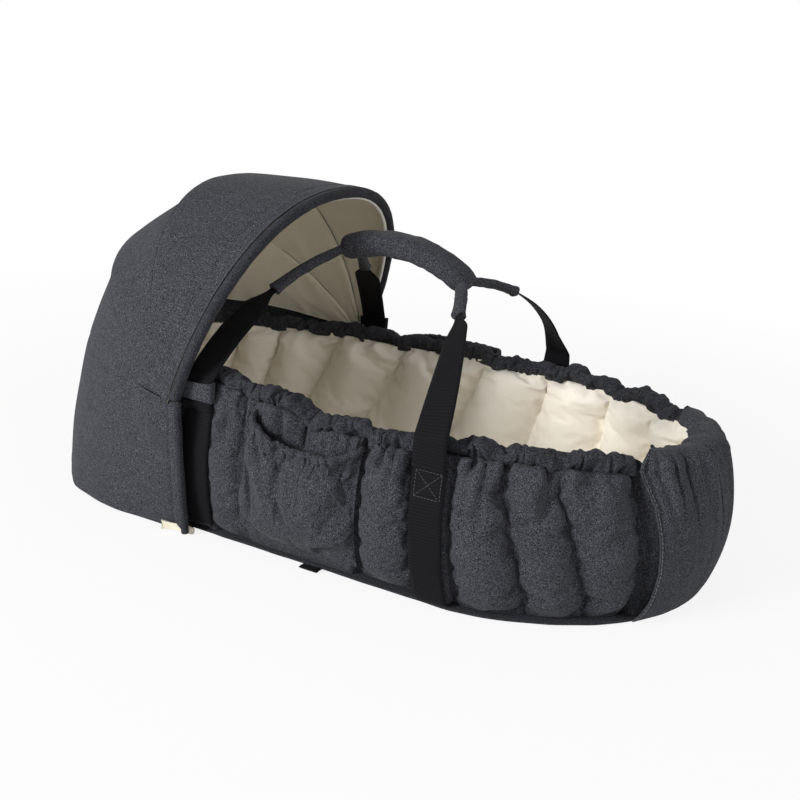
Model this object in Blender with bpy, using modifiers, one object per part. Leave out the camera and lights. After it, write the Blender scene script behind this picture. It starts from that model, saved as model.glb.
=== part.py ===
# Baby nest: a soft carrying nest with a quilted wall, an elastic rim, a folding hood and two handles.
# +X points to the foot end, -Y to the near side, +Z up. Units are metres.
# The origin is on the floor under the middle of the base.

import math

import bmesh
import bpy
from mathutils import Matrix, Vector

CLEARANCE = 0.0004

# Base outline
FOOT_X = 0.390
HEAD_X = -0.372
BASE_HALF_WIDTH = 0.176
END_LENGTH = 0.200
FOOT_POWER = 1.5
HEAD_POWER = 2.2
STATIONS = 72
STATIONS_PER_CHANNEL = 3
FOOT_STATIONS = 10
HEAD_STATIONS = 11

# Base, board and mattress
COVER_THICKNESS = 0.0025
BOARD_THICKNESS = 0.004
BOARD_INSET = 0.040
MATTRESS_THICKNESS = 0.022
MATTRESS_MARGIN = 0.0045

# Wall
RIM_HEIGHT = 0.150
RIM_HEAD_RISE = 0.012
RIM_RISE_START = 0.020
RIM_RISE_LENGTH = 0.120
WALL_BULGE = 0.0175
WALL_THICKNESS = 0.014
LINER_THICKNESS = 0.020
CHANNEL_DEPTH = 0.009
HEAD_LEAN = 0.040
HEAD_LEAN_START = -0.130
HEAD_LEAN_LENGTH = 0.150
WALL_SHARES = (0.0, 0.22, 0.48, 0.76, 1.0)
SWELL = (0.3, 0.9, 1.0, 0.9, 0.2)

# Rim casing and its elastic
CASING_WIDTH = 0.026
CASING_HEIGHT = 0.015
CASING_WALL = 0.003
ELASTIC_WIDTH = 0.008
ELASTIC_THICKNESS = 0.002

# Foot cover
FOOT_COVER_STATIONS = 6
FOOT_COVER_THICKNESS = 0.002

# Pockets
POCKET_X = 0.020
POCKET_LENGTH = 0.130
POCKET_BOTTOM = 0.012
POCKET_DROP = 0.022
POCKET_TOP = RIM_HEIGHT - POCKET_DROP
POCKET_DEPTH = 0.010
POCKET_BELLY_Z = 0.076
POCKET_THICKNESS = 0.002

# Webbing
WEBBING_WIDTH = 0.034
WEBBING_THICKNESS = 0.002
FRONT_STRAP_X = 0.170
REAR_STRAP_ROOM = 0.027
PIVOT_X = -0.125
REAR_STRAP_X = PIVOT_X + REAR_STRAP_ROOM
FRONT_STRAP_BOTTOM = 0.006
REAR_STRAP_BOTTOM = 0.012
REAR_STRAP_LEAN = -0.004
LOOP_HEIGHT = 0.018
LOOP_RISE = 0.005
LOOP_Z = RIM_HEIGHT + LOOP_RISE
LOOP_WALL = 0.0015
LOOP_ROOM = 0.0075
LOOP_SIDE_ROOM = 0.0015

# Handles
HINGE_DROP = 0.0075
HINGE_Z = RIM_HEIGHT - HINGE_DROP
WALL_STRAP_TOP = HINGE_Z - CLEARANCE
LEG_CORNER_OUT = 0.0105
LEG_CORNER_Y = BASE_HALF_WIDTH + LEG_CORNER_OUT
LEG_CORNER_RISE = 0.022
LEG_CORNER_Z = RIM_HEIGHT + LEG_CORNER_RISE
LEG_ARCH_IN = 0.056
LEG_ARCH_Y = BASE_HALF_WIDTH - LEG_ARCH_IN
GRIP_RISE = 0.174
GRIP_TOP = RIM_HEIGHT + GRIP_RISE
LEG_ARCH_DROP = 0.0575
LEG_ARCH_Z = GRIP_TOP - LEG_ARCH_DROP
FRONT_LEG_X = (FRONT_STRAP_X, 0.160, 0.106)
REAR_LEG_X = (REAR_STRAP_X, -0.080, -0.032)
LEG_POINTS = 9
LEG_WEBBING_POINTS = 6
TUBE_RADIUS = 0.006
GRIP_X0 = -0.034
GRIP_X1 = 0.108
GRIP_SLEEVE_WIDTH = 0.050
GRIP_SLEEVE_HEIGHT = 0.022
GRIP_SLEEVE_WALL = 0.004
GRIP_STRAP_WIDTH = 0.016
GRIP_STRAP_THICKNESS = 0.007
GRIP_REAR_FALL = 0.014
GRIP_FRONT_FALL = 0.036
GRIP_END_MARGIN = 0.003
GRIP_SLIT = 30.0

# Hood
PIVOT_DROP = 0.005
PIVOT_Z = RIM_HEIGHT - PIVOT_DROP
HOOD_POWER = 2.3
HOOD_RADIUS = 0.2268
HOOD_SIDE_ROOM = 0.029
HOOD_HALF_WIDTH = BASE_HALF_WIDTH + HOOD_SIDE_ROOM
LAYER_STEP = 0.0038
FABRIC = 0.0012
LINING = 0.0006
FRONT_ANGLE = 20.0
MID_ANGLE = -17.0
REAR_ANGLE = -48.0
SEAM_ANGLE = -79.5
PIVOT_RADIUS = 0.0035
PIVOT_HOLE = 0.0040
HEM_RADIUS = 0.0050
BOW_RADIUS = 0.0018
BOW_START = 0.020
HEM_SLIT = 40.0
HOOD_STEPS = 24
PANEL_STEPS = 6
SKIRT_SIDE_ROOM = 0.0065
SKIRT_HALF_WIDTH = HOOD_HALF_WIDTH + SKIRT_SIDE_ROOM
SKIRT_THICKNESS = 0.0014
SKIRT_FRONT_REACH = 0.013
SKIRT_FRONT_X = PIVOT_X + SKIRT_FRONT_REACH
SKIRT_HEM_ROOM = 0.017
SKIRT_HEM_HALF_WIDTH = BASE_HALF_WIDTH + SKIRT_HEM_ROOM
SKIRT_HEAD_ROOM = 0.020
SKIRT_HEM_HEAD_X = HEAD_X - SKIRT_HEAD_ROOM
SKIRT_HEM_Z = 0.0015
SKIRT_STAND_OFF = 0.0005
SKIRT_SWELL = 0.003
SKIRT_COLUMNS = 31

# Tabs and ties at the base seam
TAB_X = 0.040
TAB_LENGTH = 0.022
TAB_REACH = 0.010
TIE_WIDTH = 0.008


def clear_scene():
    for obj in list(bpy.data.objects):
        bpy.data.objects.remove(obj, do_unlink=True)


def make_material(name, color, roughness, metallic=0.0):
    material = bpy.data.materials.new(name)
    material.use_nodes = True
    shader = material.node_tree.nodes["Principled BSDF"]
    shader.inputs["Base Color"].default_value = (*color, 1.0)
    shader.inputs["Roughness"].default_value = roughness
    shader.inputs["Metallic"].default_value = metallic
    return material


def new_object(name, mesh, material, location=(0, 0, 0)):
    obj = bpy.data.objects.new(name, mesh)
    obj.location = location
    obj.data.materials.append(material)
    parts.objects.link(obj)
    return obj


def smoothstep(value):
    value = max(0.0, min(1.0, value))
    return value * value * (3 - 2 * value)


def mix(a, b, share):
    return a + (b - a) * share


def loft(name, rings, material, location=(0, 0, 0), closed_path=False):
    """A closed body through rings of points, each ring running the same way round."""
    bm = bmesh.new()
    origin = Vector(location)
    rows = [[bm.verts.new(Vector(point) - origin) for point in ring] for ring in rings]
    steps = len(rows) if closed_path else len(rows) - 1
    for i in range(steps):
        row = rows[i]
        following = rows[(i + 1) % len(rows)]
        for j in range(len(row)):
            k = (j + 1) % len(row)
            # The diagonal rises along the path on every surface, so that neighbours stay parallel.
            if row[j].co.z < row[k].co.z:
                bm.faces.new((row[j], row[k], following[k]))
                bm.faces.new((row[j], following[k], following[j]))
            else:
                bm.faces.new((row[j], row[k], following[j]))
                bm.faces.new((row[k], following[k], following[j]))
    if not closed_path:
        bm.faces.new(list(reversed(rows[0])))
        bm.faces.new(rows[-1])
    bmesh.ops.recalc_face_normals(bm, faces=bm.faces)
    mesh = bpy.data.meshes.new(name)
    bm.to_mesh(mesh)
    bm.free()
    mesh.shade_smooth()
    mesh.set_sharp_from_angle(angle=math.radians(40))
    return new_object(name, mesh, material, location)


def box(name, low, high, material):
    bm = bmesh.new()
    bmesh.ops.create_cube(bm, size=1.0)
    size = [b - a for a, b in zip(low, high)]
    bmesh.ops.scale(bm, vec=size, verts=bm.verts)
    mesh = bpy.data.meshes.new(name)
    bm.to_mesh(mesh)
    bm.free()
    return new_object(name, mesh, material, [(a + b) / 2 for a, b in zip(low, high)])


def outline(angle):
    """A point of the base outline, by an angle that runs from the foot tip over the far side."""
    c, s = math.cos(angle), math.sin(angle)
    power = FOOT_POWER if c >= 0 else HEAD_POWER
    reach = abs(c) ** (2 / power)
    end = FOOT_X - END_LENGTH if c >= 0 else HEAD_X + END_LENGTH
    return Vector((end + math.copysign(END_LENGTH * reach, c), BASE_HALF_WIDTH * s))


def outline_stations(count):
    """Evenly spaced points of the base outline with their outward normals."""
    fine = 1440
    points = [outline(2 * math.pi * i / fine) for i in range(fine)]
    lengths = [0.0]
    for i in range(fine):
        lengths.append(lengths[-1] + (points[(i + 1) % fine] - points[i]).length)
    stations = []
    i = 0
    for k in range(count):
        target = lengths[-1] * k / count
        while lengths[i + 1] < target:
            i += 1
        share = (target - lengths[i]) / (lengths[i + 1] - lengths[i])
        point = points[i].lerp(points[(i + 1) % fine], share)
        along = points[(i + 8) % fine] - points[i - 8]
        stations.append((point, Vector((along.y, -along.x)).normalized()))
    return stations


def rim_height(x):
    return RIM_HEIGHT + RIM_HEAD_RISE * smoothstep((RIM_RISE_START - x) / RIM_RISE_LENGTH)


def wall_offset(x, share):
    """How far the wall's outer face stands outside the base outline at a share of the rim height."""
    side = WALL_BULGE * math.sin(math.pi * min(1.0, share * 0.95 + 0.02)) ** 0.8
    head = -HEAD_LEAN * share
    return mix(side, head, smoothstep((HEAD_LEAN_START - x) / HEAD_LEAN_LENGTH))


def wall_point(station, depth, share, base=COVER_THICKNESS + CLEARANCE):
    """A point in the wall, a depth inside its outer face and at a share of the rim height."""
    point, normal = STATION_LIST[station % STATIONS]
    offset = wall_offset(point.x, share) - depth
    z = mix(base, rim_height(point.x), share)
    return Vector((*(point + normal * offset), z))


def wall_at(station, depth, z):
    """A point in the wall at a height, a depth inside its outer face."""
    point, normal = STATION_LIST[station % STATIONS]
    share = (z - COVER_THICKNESS) / (rim_height(point.x) - COVER_THICKNESS)
    return Vector((*(point + normal * (wall_offset(point.x, share) - depth)), z))


def channel(station):
    """0 at a seam between two channels and 1 over the channel's body."""
    return 0.0 if station % STATIONS_PER_CHANNEL == 0 else 1.0


def wall_ring(station, outer, inner, puff_out, puff_in):
    puff = CHANNEL_DEPTH * channel(station)
    ring = [
        wall_point(station, outer + CHANNEL_DEPTH * puff_out - puff * puff_out * swell, share)
        for share, swell in zip(WALL_SHARES, SWELL)
    ]
    ring += [
        wall_point(station, inner - CHANNEL_DEPTH * puff_in + puff * puff_in * swell, share)
        for share, swell in reversed(list(zip(WALL_SHARES, SWELL)))
    ]
    return ring


def wall_sections():
    """Name and station range of each stretch of wall."""
    foot, head = FOOT_STATIONS, STATIONS // 2 - HEAD_STATIONS
    return (
        ("foot", -foot, foot),
        ("far", foot, head),
        ("head", head, STATIONS - head),
        ("near", STATIONS - head, STATIONS - foot),
    )


def make_walls():
    for name, first, last in wall_sections():
        stations = range(first, last + 1)
        inner = WALL_THICKNESS
        outer_rings = [wall_ring(i, 0.0, inner, 1, 0) for i in stations]
        liner_rings = [
            wall_ring(i, inner + CLEARANCE, inner + CLEARANCE + LINER_THICKNESS, 0, 1) for i in stations
        ]
        loft(f"outer_wall_{name}", trim_ends(outer_rings), denim)
        loft(f"liner_{name}", trim_ends(liner_rings), cream)


def trim_ends(rings):
    """Draws the two end rings in along the path, so that neighbours keep a clearance."""
    trimmed = [list(ring) for ring in rings]
    for end, beside in ((0, 1), (-1, -2)):
        for j, point in enumerate(trimmed[end]):
            along = (rings[beside][j] - point).normalized()
            trimmed[end][j] = point + along * CLEARANCE / 2
    return trimmed


def flat_outline(name, inset, bottom, thickness, material):
    count = STATIONS
    corners = [point - normal * inset for point, normal in STATION_LIST]
    rings = [
        [Vector((*corners[i], z)) for i in range(count)]
        for z in (bottom, bottom + thickness)
    ]
    return loft(name, rings, material)


def make_base():
    flat_outline("base_cover", 0.0, 0.0, COVER_THICKNESS, denim)
    flat_outline("base_board", BOARD_INSET, COVER_THICKNESS + CLEARANCE, BOARD_THICKNESS, board)
    mattress_z = COVER_THICKNESS + 2 * CLEARANCE + BOARD_THICKNESS
    inset = WALL_THICKNESS + CLEARANCE + LINER_THICKNESS + MATTRESS_MARGIN
    rings = [
        [wall_at(i, inset, z) for i in range(STATIONS)] for z in (mattress_z, mattress_z + MATTRESS_THICKNESS)
    ]
    loft("mattress", rings, foam)


def make_rim():
    depth = WALL_THICKNESS + CLEARANCE
    casing, elastic = [], []
    for i, (point, normal) in enumerate(STATION_LIST):
        centre = wall_offset(point.x, 1.0) - depth
        floor = rim_height(point.x) + CLEARANCE

        def at(offset, height):
            return Vector((*(point + normal * (centre + offset)), floor + height))

        arch = [(math.cos(a), math.sin(a)) for a in (math.pi * k / 6 for k in range(7))]
        outer = [at(CASING_WIDTH / 2 * c, CASING_HEIGHT * s) for c, s in arch]
        width, height = CASING_WIDTH / 2 - CASING_WALL, CASING_HEIGHT - CASING_WALL
        inner = [at(width * c, height * s) for c, s in reversed(arch[1:-1])]
        casing.append(outer + [at(-width, 0.0)] + inner + [at(width, 0.0)])
        half = ELASTIC_WIDTH / 2
        low, high = CLEARANCE, CLEARANCE + ELASTIC_THICKNESS
        elastic.append([at(-half, low), at(half, low), at(half, high), at(-half, high)])
    loft("rim_casing", casing, denim, closed_path=True)
    loft("rim_elastic", elastic, rubber, closed_path=True)


def make_foot_cover():
    rings = []
    low = CLEARANCE
    high = CLEARANCE + FOOT_COVER_THICKNESS
    last = FOOT_COVER_STATIONS
    for i in range(-last, last + 1):
        ring = [wall_point(i, -low, share) for share in WALL_SHARES]
        ring += [wall_point(i, -high, share) for share in reversed(WALL_SHARES)]
        rings.append(ring)
    loft("foot_cover", rings, denim)


def side_y(x, z, stand_off):
    """The half width of the wall's outer face on its straight stretch at a height, with a stand-off."""
    share = (z - COVER_THICKNESS) / (rim_height(x) - COVER_THICKNESS)
    return BASE_HALF_WIDTH + wall_offset(x, max(0.0, min(1.0, share))) + stand_off


def band(name, path, across, width, thickness, material, location=(0, 0, 0)):
    """A flat band through a path, with its width along one direction at each point."""
    rings = []
    for i, point in enumerate(path):
        before, after = path[max(i - 1, 0)], path[min(i + 1, len(path) - 1)]
        along = (after - before).normalized()
        side = Vector(across)
        side = (side - along * side.dot(along)).normalized()
        normal = along.cross(side)
        half = width / 2
        rise = thickness / 2
        rings.append([
            point + side * half + normal * rise,
            point - side * half + normal * rise,
            point - side * half - normal * rise,
            point + side * half - normal * rise,
        ])
    return loft(name, rings, material, location)


def pocket_y(x, z, arch, up):
    """The inner face of a pocket panel, which lies on the wall at the seams and hangs straight above its belly."""
    lying = side_y(x, z, CLEARANCE)
    hanging = side_y(x, min(z, POCKET_BELLY_Z), CLEARANCE)
    return mix(lying, hanging, arch) + POCKET_DEPTH * arch * smoothstep(up * 3)


def make_pocket(name, sign):
    """A gathered pocket panel sewn to the side wall along its bottom and both ends, open at the top."""
    columns = 9
    rows = 5
    rings = []
    for i in range(columns):
        share = i / (columns - 1)
        x = POCKET_X + (share - 0.5) * POCKET_LENGTH
        arch = math.sin(math.pi * share) ** 0.5
        inner, outer = [], []
        for j in range(rows):
            up = j / (rows - 1)
            z = mix(POCKET_BOTTOM, POCKET_TOP, up)
            y = pocket_y(x, z, arch, up)
            inner.append(Vector((x, sign * y, z)))
            outer.append(Vector((x, sign * (y + POCKET_THICKNESS), z)))
        rings.append(inner + outer[::-1])
    loft(f"{name}_pocket", rings, denim)
    z = POCKET_TOP + CLEARANCE + ELASTIC_THICKNESS
    path = []
    for i in range(columns):
        share = i / (columns - 1)
        x = POCKET_X + (share - 0.5) * POCKET_LENGTH
        y = pocket_y(x, POCKET_TOP, math.sin(math.pi * share) ** 0.5, 1.0) + POCKET_THICKNESS / 2
        path.append(Vector((x, sign * y, z)))
    band(f"{name}_pocket_elastic", path, (0, 0, 1), 2 * ELASTIC_THICKNESS, ELASTIC_THICKNESS, rubber)


def wall_strap(name, sign, x, bottom, lean):
    """Webbing that runs down the outside of the wall from the handle's hinge."""
    count = 8
    stand_off = CLEARANCE + WEBBING_THICKNESS / 2
    path = []
    for i in range(count):
        z = mix(bottom, WALL_STRAP_TOP, i / (count - 1))
        shift = lean * (1 - i / (count - 1))
        path.append(Vector((x + shift, sign * side_y(x + shift, z, stand_off), z)))
    return band(name, path, (1, 0, 0), WEBBING_WIDTH, WEBBING_THICKNESS, webbing)


def leg_path(x_points, end_z, sign):
    """A handle leg: straight up past the rim, then a shallow arch in to the grip."""
    start = Vector((LEG_CORNER_Y, LEG_CORNER_Z))
    arch = Vector((LEG_ARCH_Y, LEG_ARCH_Z))
    end = Vector((GRIP_STRAP_WIDTH / 2 + CLEARANCE, end_z))
    foot = side_y(x_points[0], HINGE_Z, CLEARANCE + WEBBING_THICKNESS / 2)
    path = [Vector((x_points[0], sign * foot, HINGE_Z + CLEARANCE))]
    for i in range(LEG_POINTS):
        t = i / (LEG_POINTS - 1)
        weights = ((1 - t) ** 2, 2 * t * (1 - t), t * t)
        across = weights[0] * start + weights[1] * arch + weights[2] * end
        x = sum(w * value for w, value in zip(weights, x_points))
        path.append(Vector((x, sign * across.x, across.y)))
    return path


def rod(name, path, radius, material, location=(0, 0, 0), sides=3):
    """A round bar along a path, as a curve with filled caps."""
    curve = bpy.data.curves.new(name, "CURVE")
    curve.dimensions = "3D"
    curve.bevel_depth = radius
    curve.bevel_resolution = sides - 2
    curve.use_fill_caps = True
    spline = curve.splines.new("POLY")
    spline.points.add(len(path) - 1)
    for point, place in zip(spline.points, path):
        point.co = (*(Vector(place) - Vector(location)), 1)
    return new_object(name, curve, material, location)


def grip_z(x):
    """The middle height of the grip along its arch."""
    share = (x - GRIP_X0) / (GRIP_X1 - GRIP_X0)
    fall = GRIP_REAR_FALL * (1 - share) ** 3 + GRIP_FRONT_FALL * share ** 3
    return GRIP_TOP - GRIP_SLEEVE_HEIGHT / 2 - fall


def grip_path(x0, x1, y, count=9):
    return [Vector((x, y, grip_z(x))) for x in (mix(x0, x1, i / (count - 1)) for i in range(count))]


def make_handle(name, sign):
    hinge = (0, sign * HINGE_Y, HINGE_Z)
    for end, x_points in (("front", FRONT_LEG_X), ("rear", REAR_LEG_X)):
        toward = -1 if end == "front" else 1
        path = leg_path(x_points, grip_z(x_points[-1]), sign)
        flat, round_part = path[:LEG_WEBBING_POINTS], path[LEG_WEBBING_POINTS - 1:]
        gap = (round_part[1] - round_part[0]).normalized() * CLEARANCE
        round_part[0] = round_part[0] + gap
        band(f"{name}_{end}_strap", flat, (1, 0, 0), WEBBING_WIDTH, WEBBING_THICKNESS, webbing, hinge)
        round_part[-1] = round_part[-1] - Vector((toward * (TUBE_RADIUS + CLEARANCE), 0, 0))
        rod(f"{name}_{end}_strap_sleeve", round_part, TUBE_RADIUS, denim, hinge)
    y = sign * (GRIP_STRAP_WIDTH / 2 + CLEARANCE)
    path = grip_path(REAR_LEG_X[-1], FRONT_LEG_X[-1], y)
    band(f"{name}_grip_webbing", path, (0, 1, 0), GRIP_STRAP_WIDTH, GRIP_STRAP_THICKNESS, webbing, hinge)


def make_grip_sleeve():
    """The padded sleeve round both grip webbings, closed along a slit underneath."""
    rings = []
    steps = 12
    slit = math.radians(GRIP_SLIT / 2)
    for centre in grip_path(GRIP_X0 + GRIP_END_MARGIN, GRIP_X1 - GRIP_END_MARGIN, 0.0):
        angles = [slit + (2 * math.pi - 2 * slit) * i / steps for i in range(steps + 1)]

        def ring(width, height):
            across = [(superpower(math.sin(a)), -superpower(math.cos(a))) for a in angles]
            return [centre + Vector((0, width / 2 * y, height / 2 * z)) for y, z in across]

        outer = ring(GRIP_SLEEVE_WIDTH, GRIP_SLEEVE_HEIGHT)
        inner = ring(GRIP_SLEEVE_WIDTH - 2 * GRIP_SLEEVE_WALL, GRIP_SLEEVE_HEIGHT - 2 * GRIP_SLEEVE_WALL)
        rings.append(outer + inner[::-1])
    loft("grip_sleeve", rings, denim, (0, -HINGE_Y, HINGE_Z))


def superpower(value):
    """Squares a circle a little, so that the sleeve is flatter than an ellipse."""
    return math.copysign(abs(value) ** 0.75, value)


def make_loop(name, sign):
    """A fabric loop on the rim that the rear strap runs up through."""
    inner_face = side_y(REAR_STRAP_X, LOOP_Z, 0.0)
    middle = sign * (inner_face + LOOP_WALL + CLEARANCE + LOOP_ROOM / 2)
    x0 = REAR_LEG_X[0]
    half_width = WEBBING_WIDTH / 2 + LOOP_SIDE_ROOM + LOOP_WALL
    half = Vector((half_width, LOOP_ROOM / 2 + LOOP_WALL, LOOP_HEIGHT / 2))
    room = half - Vector((LOOP_WALL, LOOP_WALL, -LOOP_HEIGHT / 2))
    centre = Vector((x0, middle, LOOP_Z + LOOP_HEIGHT / 2))
    loop = box(name, centre - half, centre + half, denim)
    cutter = box(f"{name}_cutter", centre - room, centre + room, denim)
    parts.objects.unlink(cutter)
    cutter.hide_render = True
    cutter.display_type = "WIRE"
    cutters.objects.link(cutter)
    cut = loop.modifiers.new("slot", "BOOLEAN")
    cut.operation = "DIFFERENCE"
    cut.solver = "EXACT"
    cut.object = cutter


def hood_profile(radius, half_width, start):
    """Points (reach from the pivot axis, y) of a bow from the near side to the far side."""
    points = []
    for i in range(HOOD_STEPS + 1):
        a = math.pi * i / HOOD_STEPS
        reach = radius * math.sin(a) ** (2 / HOOD_POWER)
        y = -math.copysign(half_width * abs(math.cos(a)) ** (2 / HOOD_POWER), math.cos(a))
        points.append((max(reach, start), y))
    return points


def layer(index):
    """Outer radius and half width of one nested hood panel, the front one outermost."""
    return HOOD_RADIUS - index * LAYER_STEP, HOOD_HALF_WIDTH - index * LAYER_STEP


def turned_panel(name, index, depth, thickness, low, high, material):
    """A hood panel: a bow's profile turned about the pivot axis, then thickened inwards."""
    radius, half_width = layer(index)
    mesh = bpy.data.meshes.new(name)
    a = math.radians(low)
    profile = hood_profile(radius - depth, half_width - depth, PIVOT_HOLE)
    points = [(reach * math.sin(a), y, reach * math.cos(a)) for reach, y in profile]
    mesh.from_pydata(points, [(i, i + 1) for i in range(len(points) - 1)], [])
    obj = new_object(name, mesh, material, (PIVOT_X, 0, PIVOT_Z))
    turn = obj.modifiers.new("turn", "SCREW")
    turn.axis = "Y"
    turn.angle = math.radians(high - low)
    turn.steps = PANEL_STEPS
    turn.render_steps = PANEL_STEPS
    turn.use_merge_vertices = False
    wall = obj.modifiers.new("wall", "SOLIDIFY")
    wall.thickness = thickness
    wall.offset = -1
    return obj


def bow_path(radius, half_width, angle, forward):
    """A bow's centre line, shifted forward from the plane of its panel's edge."""
    a = math.radians(angle)
    u = Vector((math.sin(a), 0, math.cos(a)))
    shift = Vector((math.cos(a), 0, -math.sin(a))) * forward
    pivot = Vector((PIVOT_X, 0, PIVOT_Z))
    profile = [(r, y) for r, y in hood_profile(radius, half_width, 0.0) if r >= BOW_START]
    return [pivot + u * r + shift + Vector((0, y, 0)) for r, y in profile]


def make_hood():
    panels = (
        ("front", MID_ANGLE, FRONT_ANGLE),
        ("mid", REAR_ANGLE, MID_ANGLE),
        ("rear", SEAM_ANGLE, REAR_ANGLE),
    )
    for index, (name, low, high) in enumerate(panels):
        turned_panel(f"hood_{name}_panel", index, 0.0, FABRIC, low, high, denim)
        turned_panel(f"hood_{name}_lining", index, FABRIC + CLEARANCE, LINING, low, high, cream)
    pivot = (PIVOT_X, 0, PIVOT_Z)
    forward = BOW_RADIUS + CLEARANCE
    radius, half_width = layer(2)
    for name, angle, rise in (("mid", MID_ANGLE, BOW_RADIUS), ("rear", REAR_ANGLE, -BOW_RADIUS - CLEARANCE)):
        path = bow_path(radius + rise, half_width + rise, angle, forward)
        rod(f"hood_{name}_bow", path, BOW_RADIUS, stay, pivot)
    radius, half_width = layer(0)
    path = bow_path(radius - FABRIC / 2, half_width - FABRIC / 2, FRONT_ANGLE, HEM_RADIUS + CLEARANCE)
    rod("hood_front_bow", path, BOW_RADIUS, stay, pivot)
    rings = []
    a = math.radians(FRONT_ANGLE)
    forward_axis = Vector((math.cos(a), 0, -math.sin(a)))
    steps = 8
    for i, point in enumerate(path):
        along = (path[min(i + 1, len(path) - 1)] - path[max(i - 1, 0)]).normalized()
        inward = along.cross(forward_axis)
        slit = math.radians(HEM_SLIT / 2)
        angles = [slit + (2 * math.pi - 2 * slit) * k / steps for k in range(steps + 1)]
        rim = [inward * math.cos(b) + forward_axis * math.sin(b) for b in angles]
        inner_radius = BOW_RADIUS + CLEARANCE
        rings.append([point + v * HEM_RADIUS for v in rim] + [point + v * inner_radius for v in rim[::-1]])
    loft("hood_front_hem", rings, denim, pivot)
    for name, sign in (("near", -1), ("far", 1)):
        inner = layer(2)[1] - FABRIC - 2 * CLEARANCE - LINING
        outer = SKIRT_HALF_WIDTH - SKIRT_THICKNESS - CLEARANCE
        bm = bmesh.new()
        bmesh.ops.create_cone(
            bm, cap_ends=True, segments=16, radius1=PIVOT_RADIUS, radius2=PIVOT_RADIUS, depth=outer - inner
        )
        bmesh.ops.rotate(bm, cent=(0, 0, 0), matrix=Matrix.Rotation(math.pi / 2, 3, "X"), verts=bm.verts)
        mesh = bpy.data.meshes.new(f"{name}_hood_pivot")
        bm.to_mesh(mesh)
        bm.free()
        new_object(f"{name}_hood_pivot", mesh, stay, (PIVOT_X, sign * (inner + outer) / 2, PIVOT_Z))


def resample(points, count):
    """Evenly spaced points along a polyline."""
    lengths = [0.0]
    for a, b in zip(points, points[1:]):
        lengths.append(lengths[-1] + (b - a).length)
    found = []
    i = 0
    for k in range(count):
        target = lengths[-1] * k / (count - 1)
        while i < len(points) - 2 and lengths[i + 1] < target:
            i += 1
        share = (target - lengths[i]) / (lengths[i + 1] - lengths[i])
        found.append(points[i].lerp(points[i + 1], min(1.0, share)))
    return found


def skirt_curves(inset):
    """The hem and the seam of the hood's skirt, from the near front edge round the head to the far one."""
    fine = 60
    hem, seam = [], []
    a = math.radians(SEAM_ANGLE)
    back = Vector((math.sin(a), 0, math.cos(a)))
    drop = Vector((math.cos(a), 0, -math.sin(a))) * -CLEARANCE * 2
    pivot = Vector((PIVOT_X, 0, PIVOT_Z))
    radius = layer(2)[0] + SKIRT_STAND_OFF - inset
    half_width = SKIRT_HALF_WIDTH - inset
    start = (PIVOT_X - SKIRT_FRONT_X) / math.sin(a)
    hem_half = SKIRT_HEM_HALF_WIDTH - inset
    hem_end = SKIRT_HEM_HEAD_X + END_LENGTH
    for i in range(fine + 1):
        b = math.pi * i / fine
        y = -math.copysign(abs(math.cos(b)) ** (2 / HOOD_POWER), math.cos(b))
        reach = radius * math.sin(b) ** (2 / HOOD_POWER)
        seam.append(pivot + back * reach + drop + Vector((0, y * half_width, 0)))
        x = hem_end - (END_LENGTH - inset) * math.sin(b) ** (2 / HEAD_POWER)
        hem.append(Vector((x, -hem_half * math.cos(b), SKIRT_HEM_Z)))
    for curve, half, base in ((hem, hem_half, None), (seam, half_width, pivot + drop - back * start)):
        for side, index in ((-1, 0), (1, len(curve))):
            point = Vector((SKIRT_FRONT_X, 0, SKIRT_HEM_Z)) if base is None else base.copy()
            point.x = SKIRT_FRONT_X
            point.y = side * half
            curve.insert(index, point)
    return resample(hem, SKIRT_COLUMNS), resample(seam, SKIRT_COLUMNS)


def make_skirt():
    outer_hem, outer_seam = skirt_curves(0.0)
    inner_hem, inner_seam = skirt_curves(SKIRT_THICKNESS)
    rings = []
    for i in range(SKIRT_COLUMNS):
        a = outer_hem[i].lerp(outer_seam[i], 0.5)
        b = inner_hem[i].lerp(inner_seam[i], 0.5)
        away = Vector((a.x - PIVOT_X if a.x < PIVOT_X else 0, a.y, 0)).normalized() * SKIRT_SWELL
        rings.append([outer_hem[i], a + away, outer_seam[i], inner_seam[i], b + away, inner_hem[i]])
    loft("hood_skirt", rings, denim)


def make_tabs():
    edge = BASE_HALF_WIDTH + CLEARANCE
    low = (TAB_X - TAB_LENGTH / 2, -edge - TAB_REACH, CLEARANCE)
    high = (TAB_X + TAB_LENGTH / 2, -edge, COVER_THICKNESS)
    box("base_tab", low, high, webbing)
    for name, sign in (("near", -1), ("far", 1)):
        ends = (sign * edge, sign * (SKIRT_HEM_HALF_WIDTH - SKIRT_THICKNESS - CLEARANCE))
        low = (SKIRT_FRONT_X - TIE_WIDTH, min(ends), CLEARANCE)
        high = (SKIRT_FRONT_X, max(ends), COVER_THICKNESS)
        box(f"{name}_skirt_tie", low, high, rubber)


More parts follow.
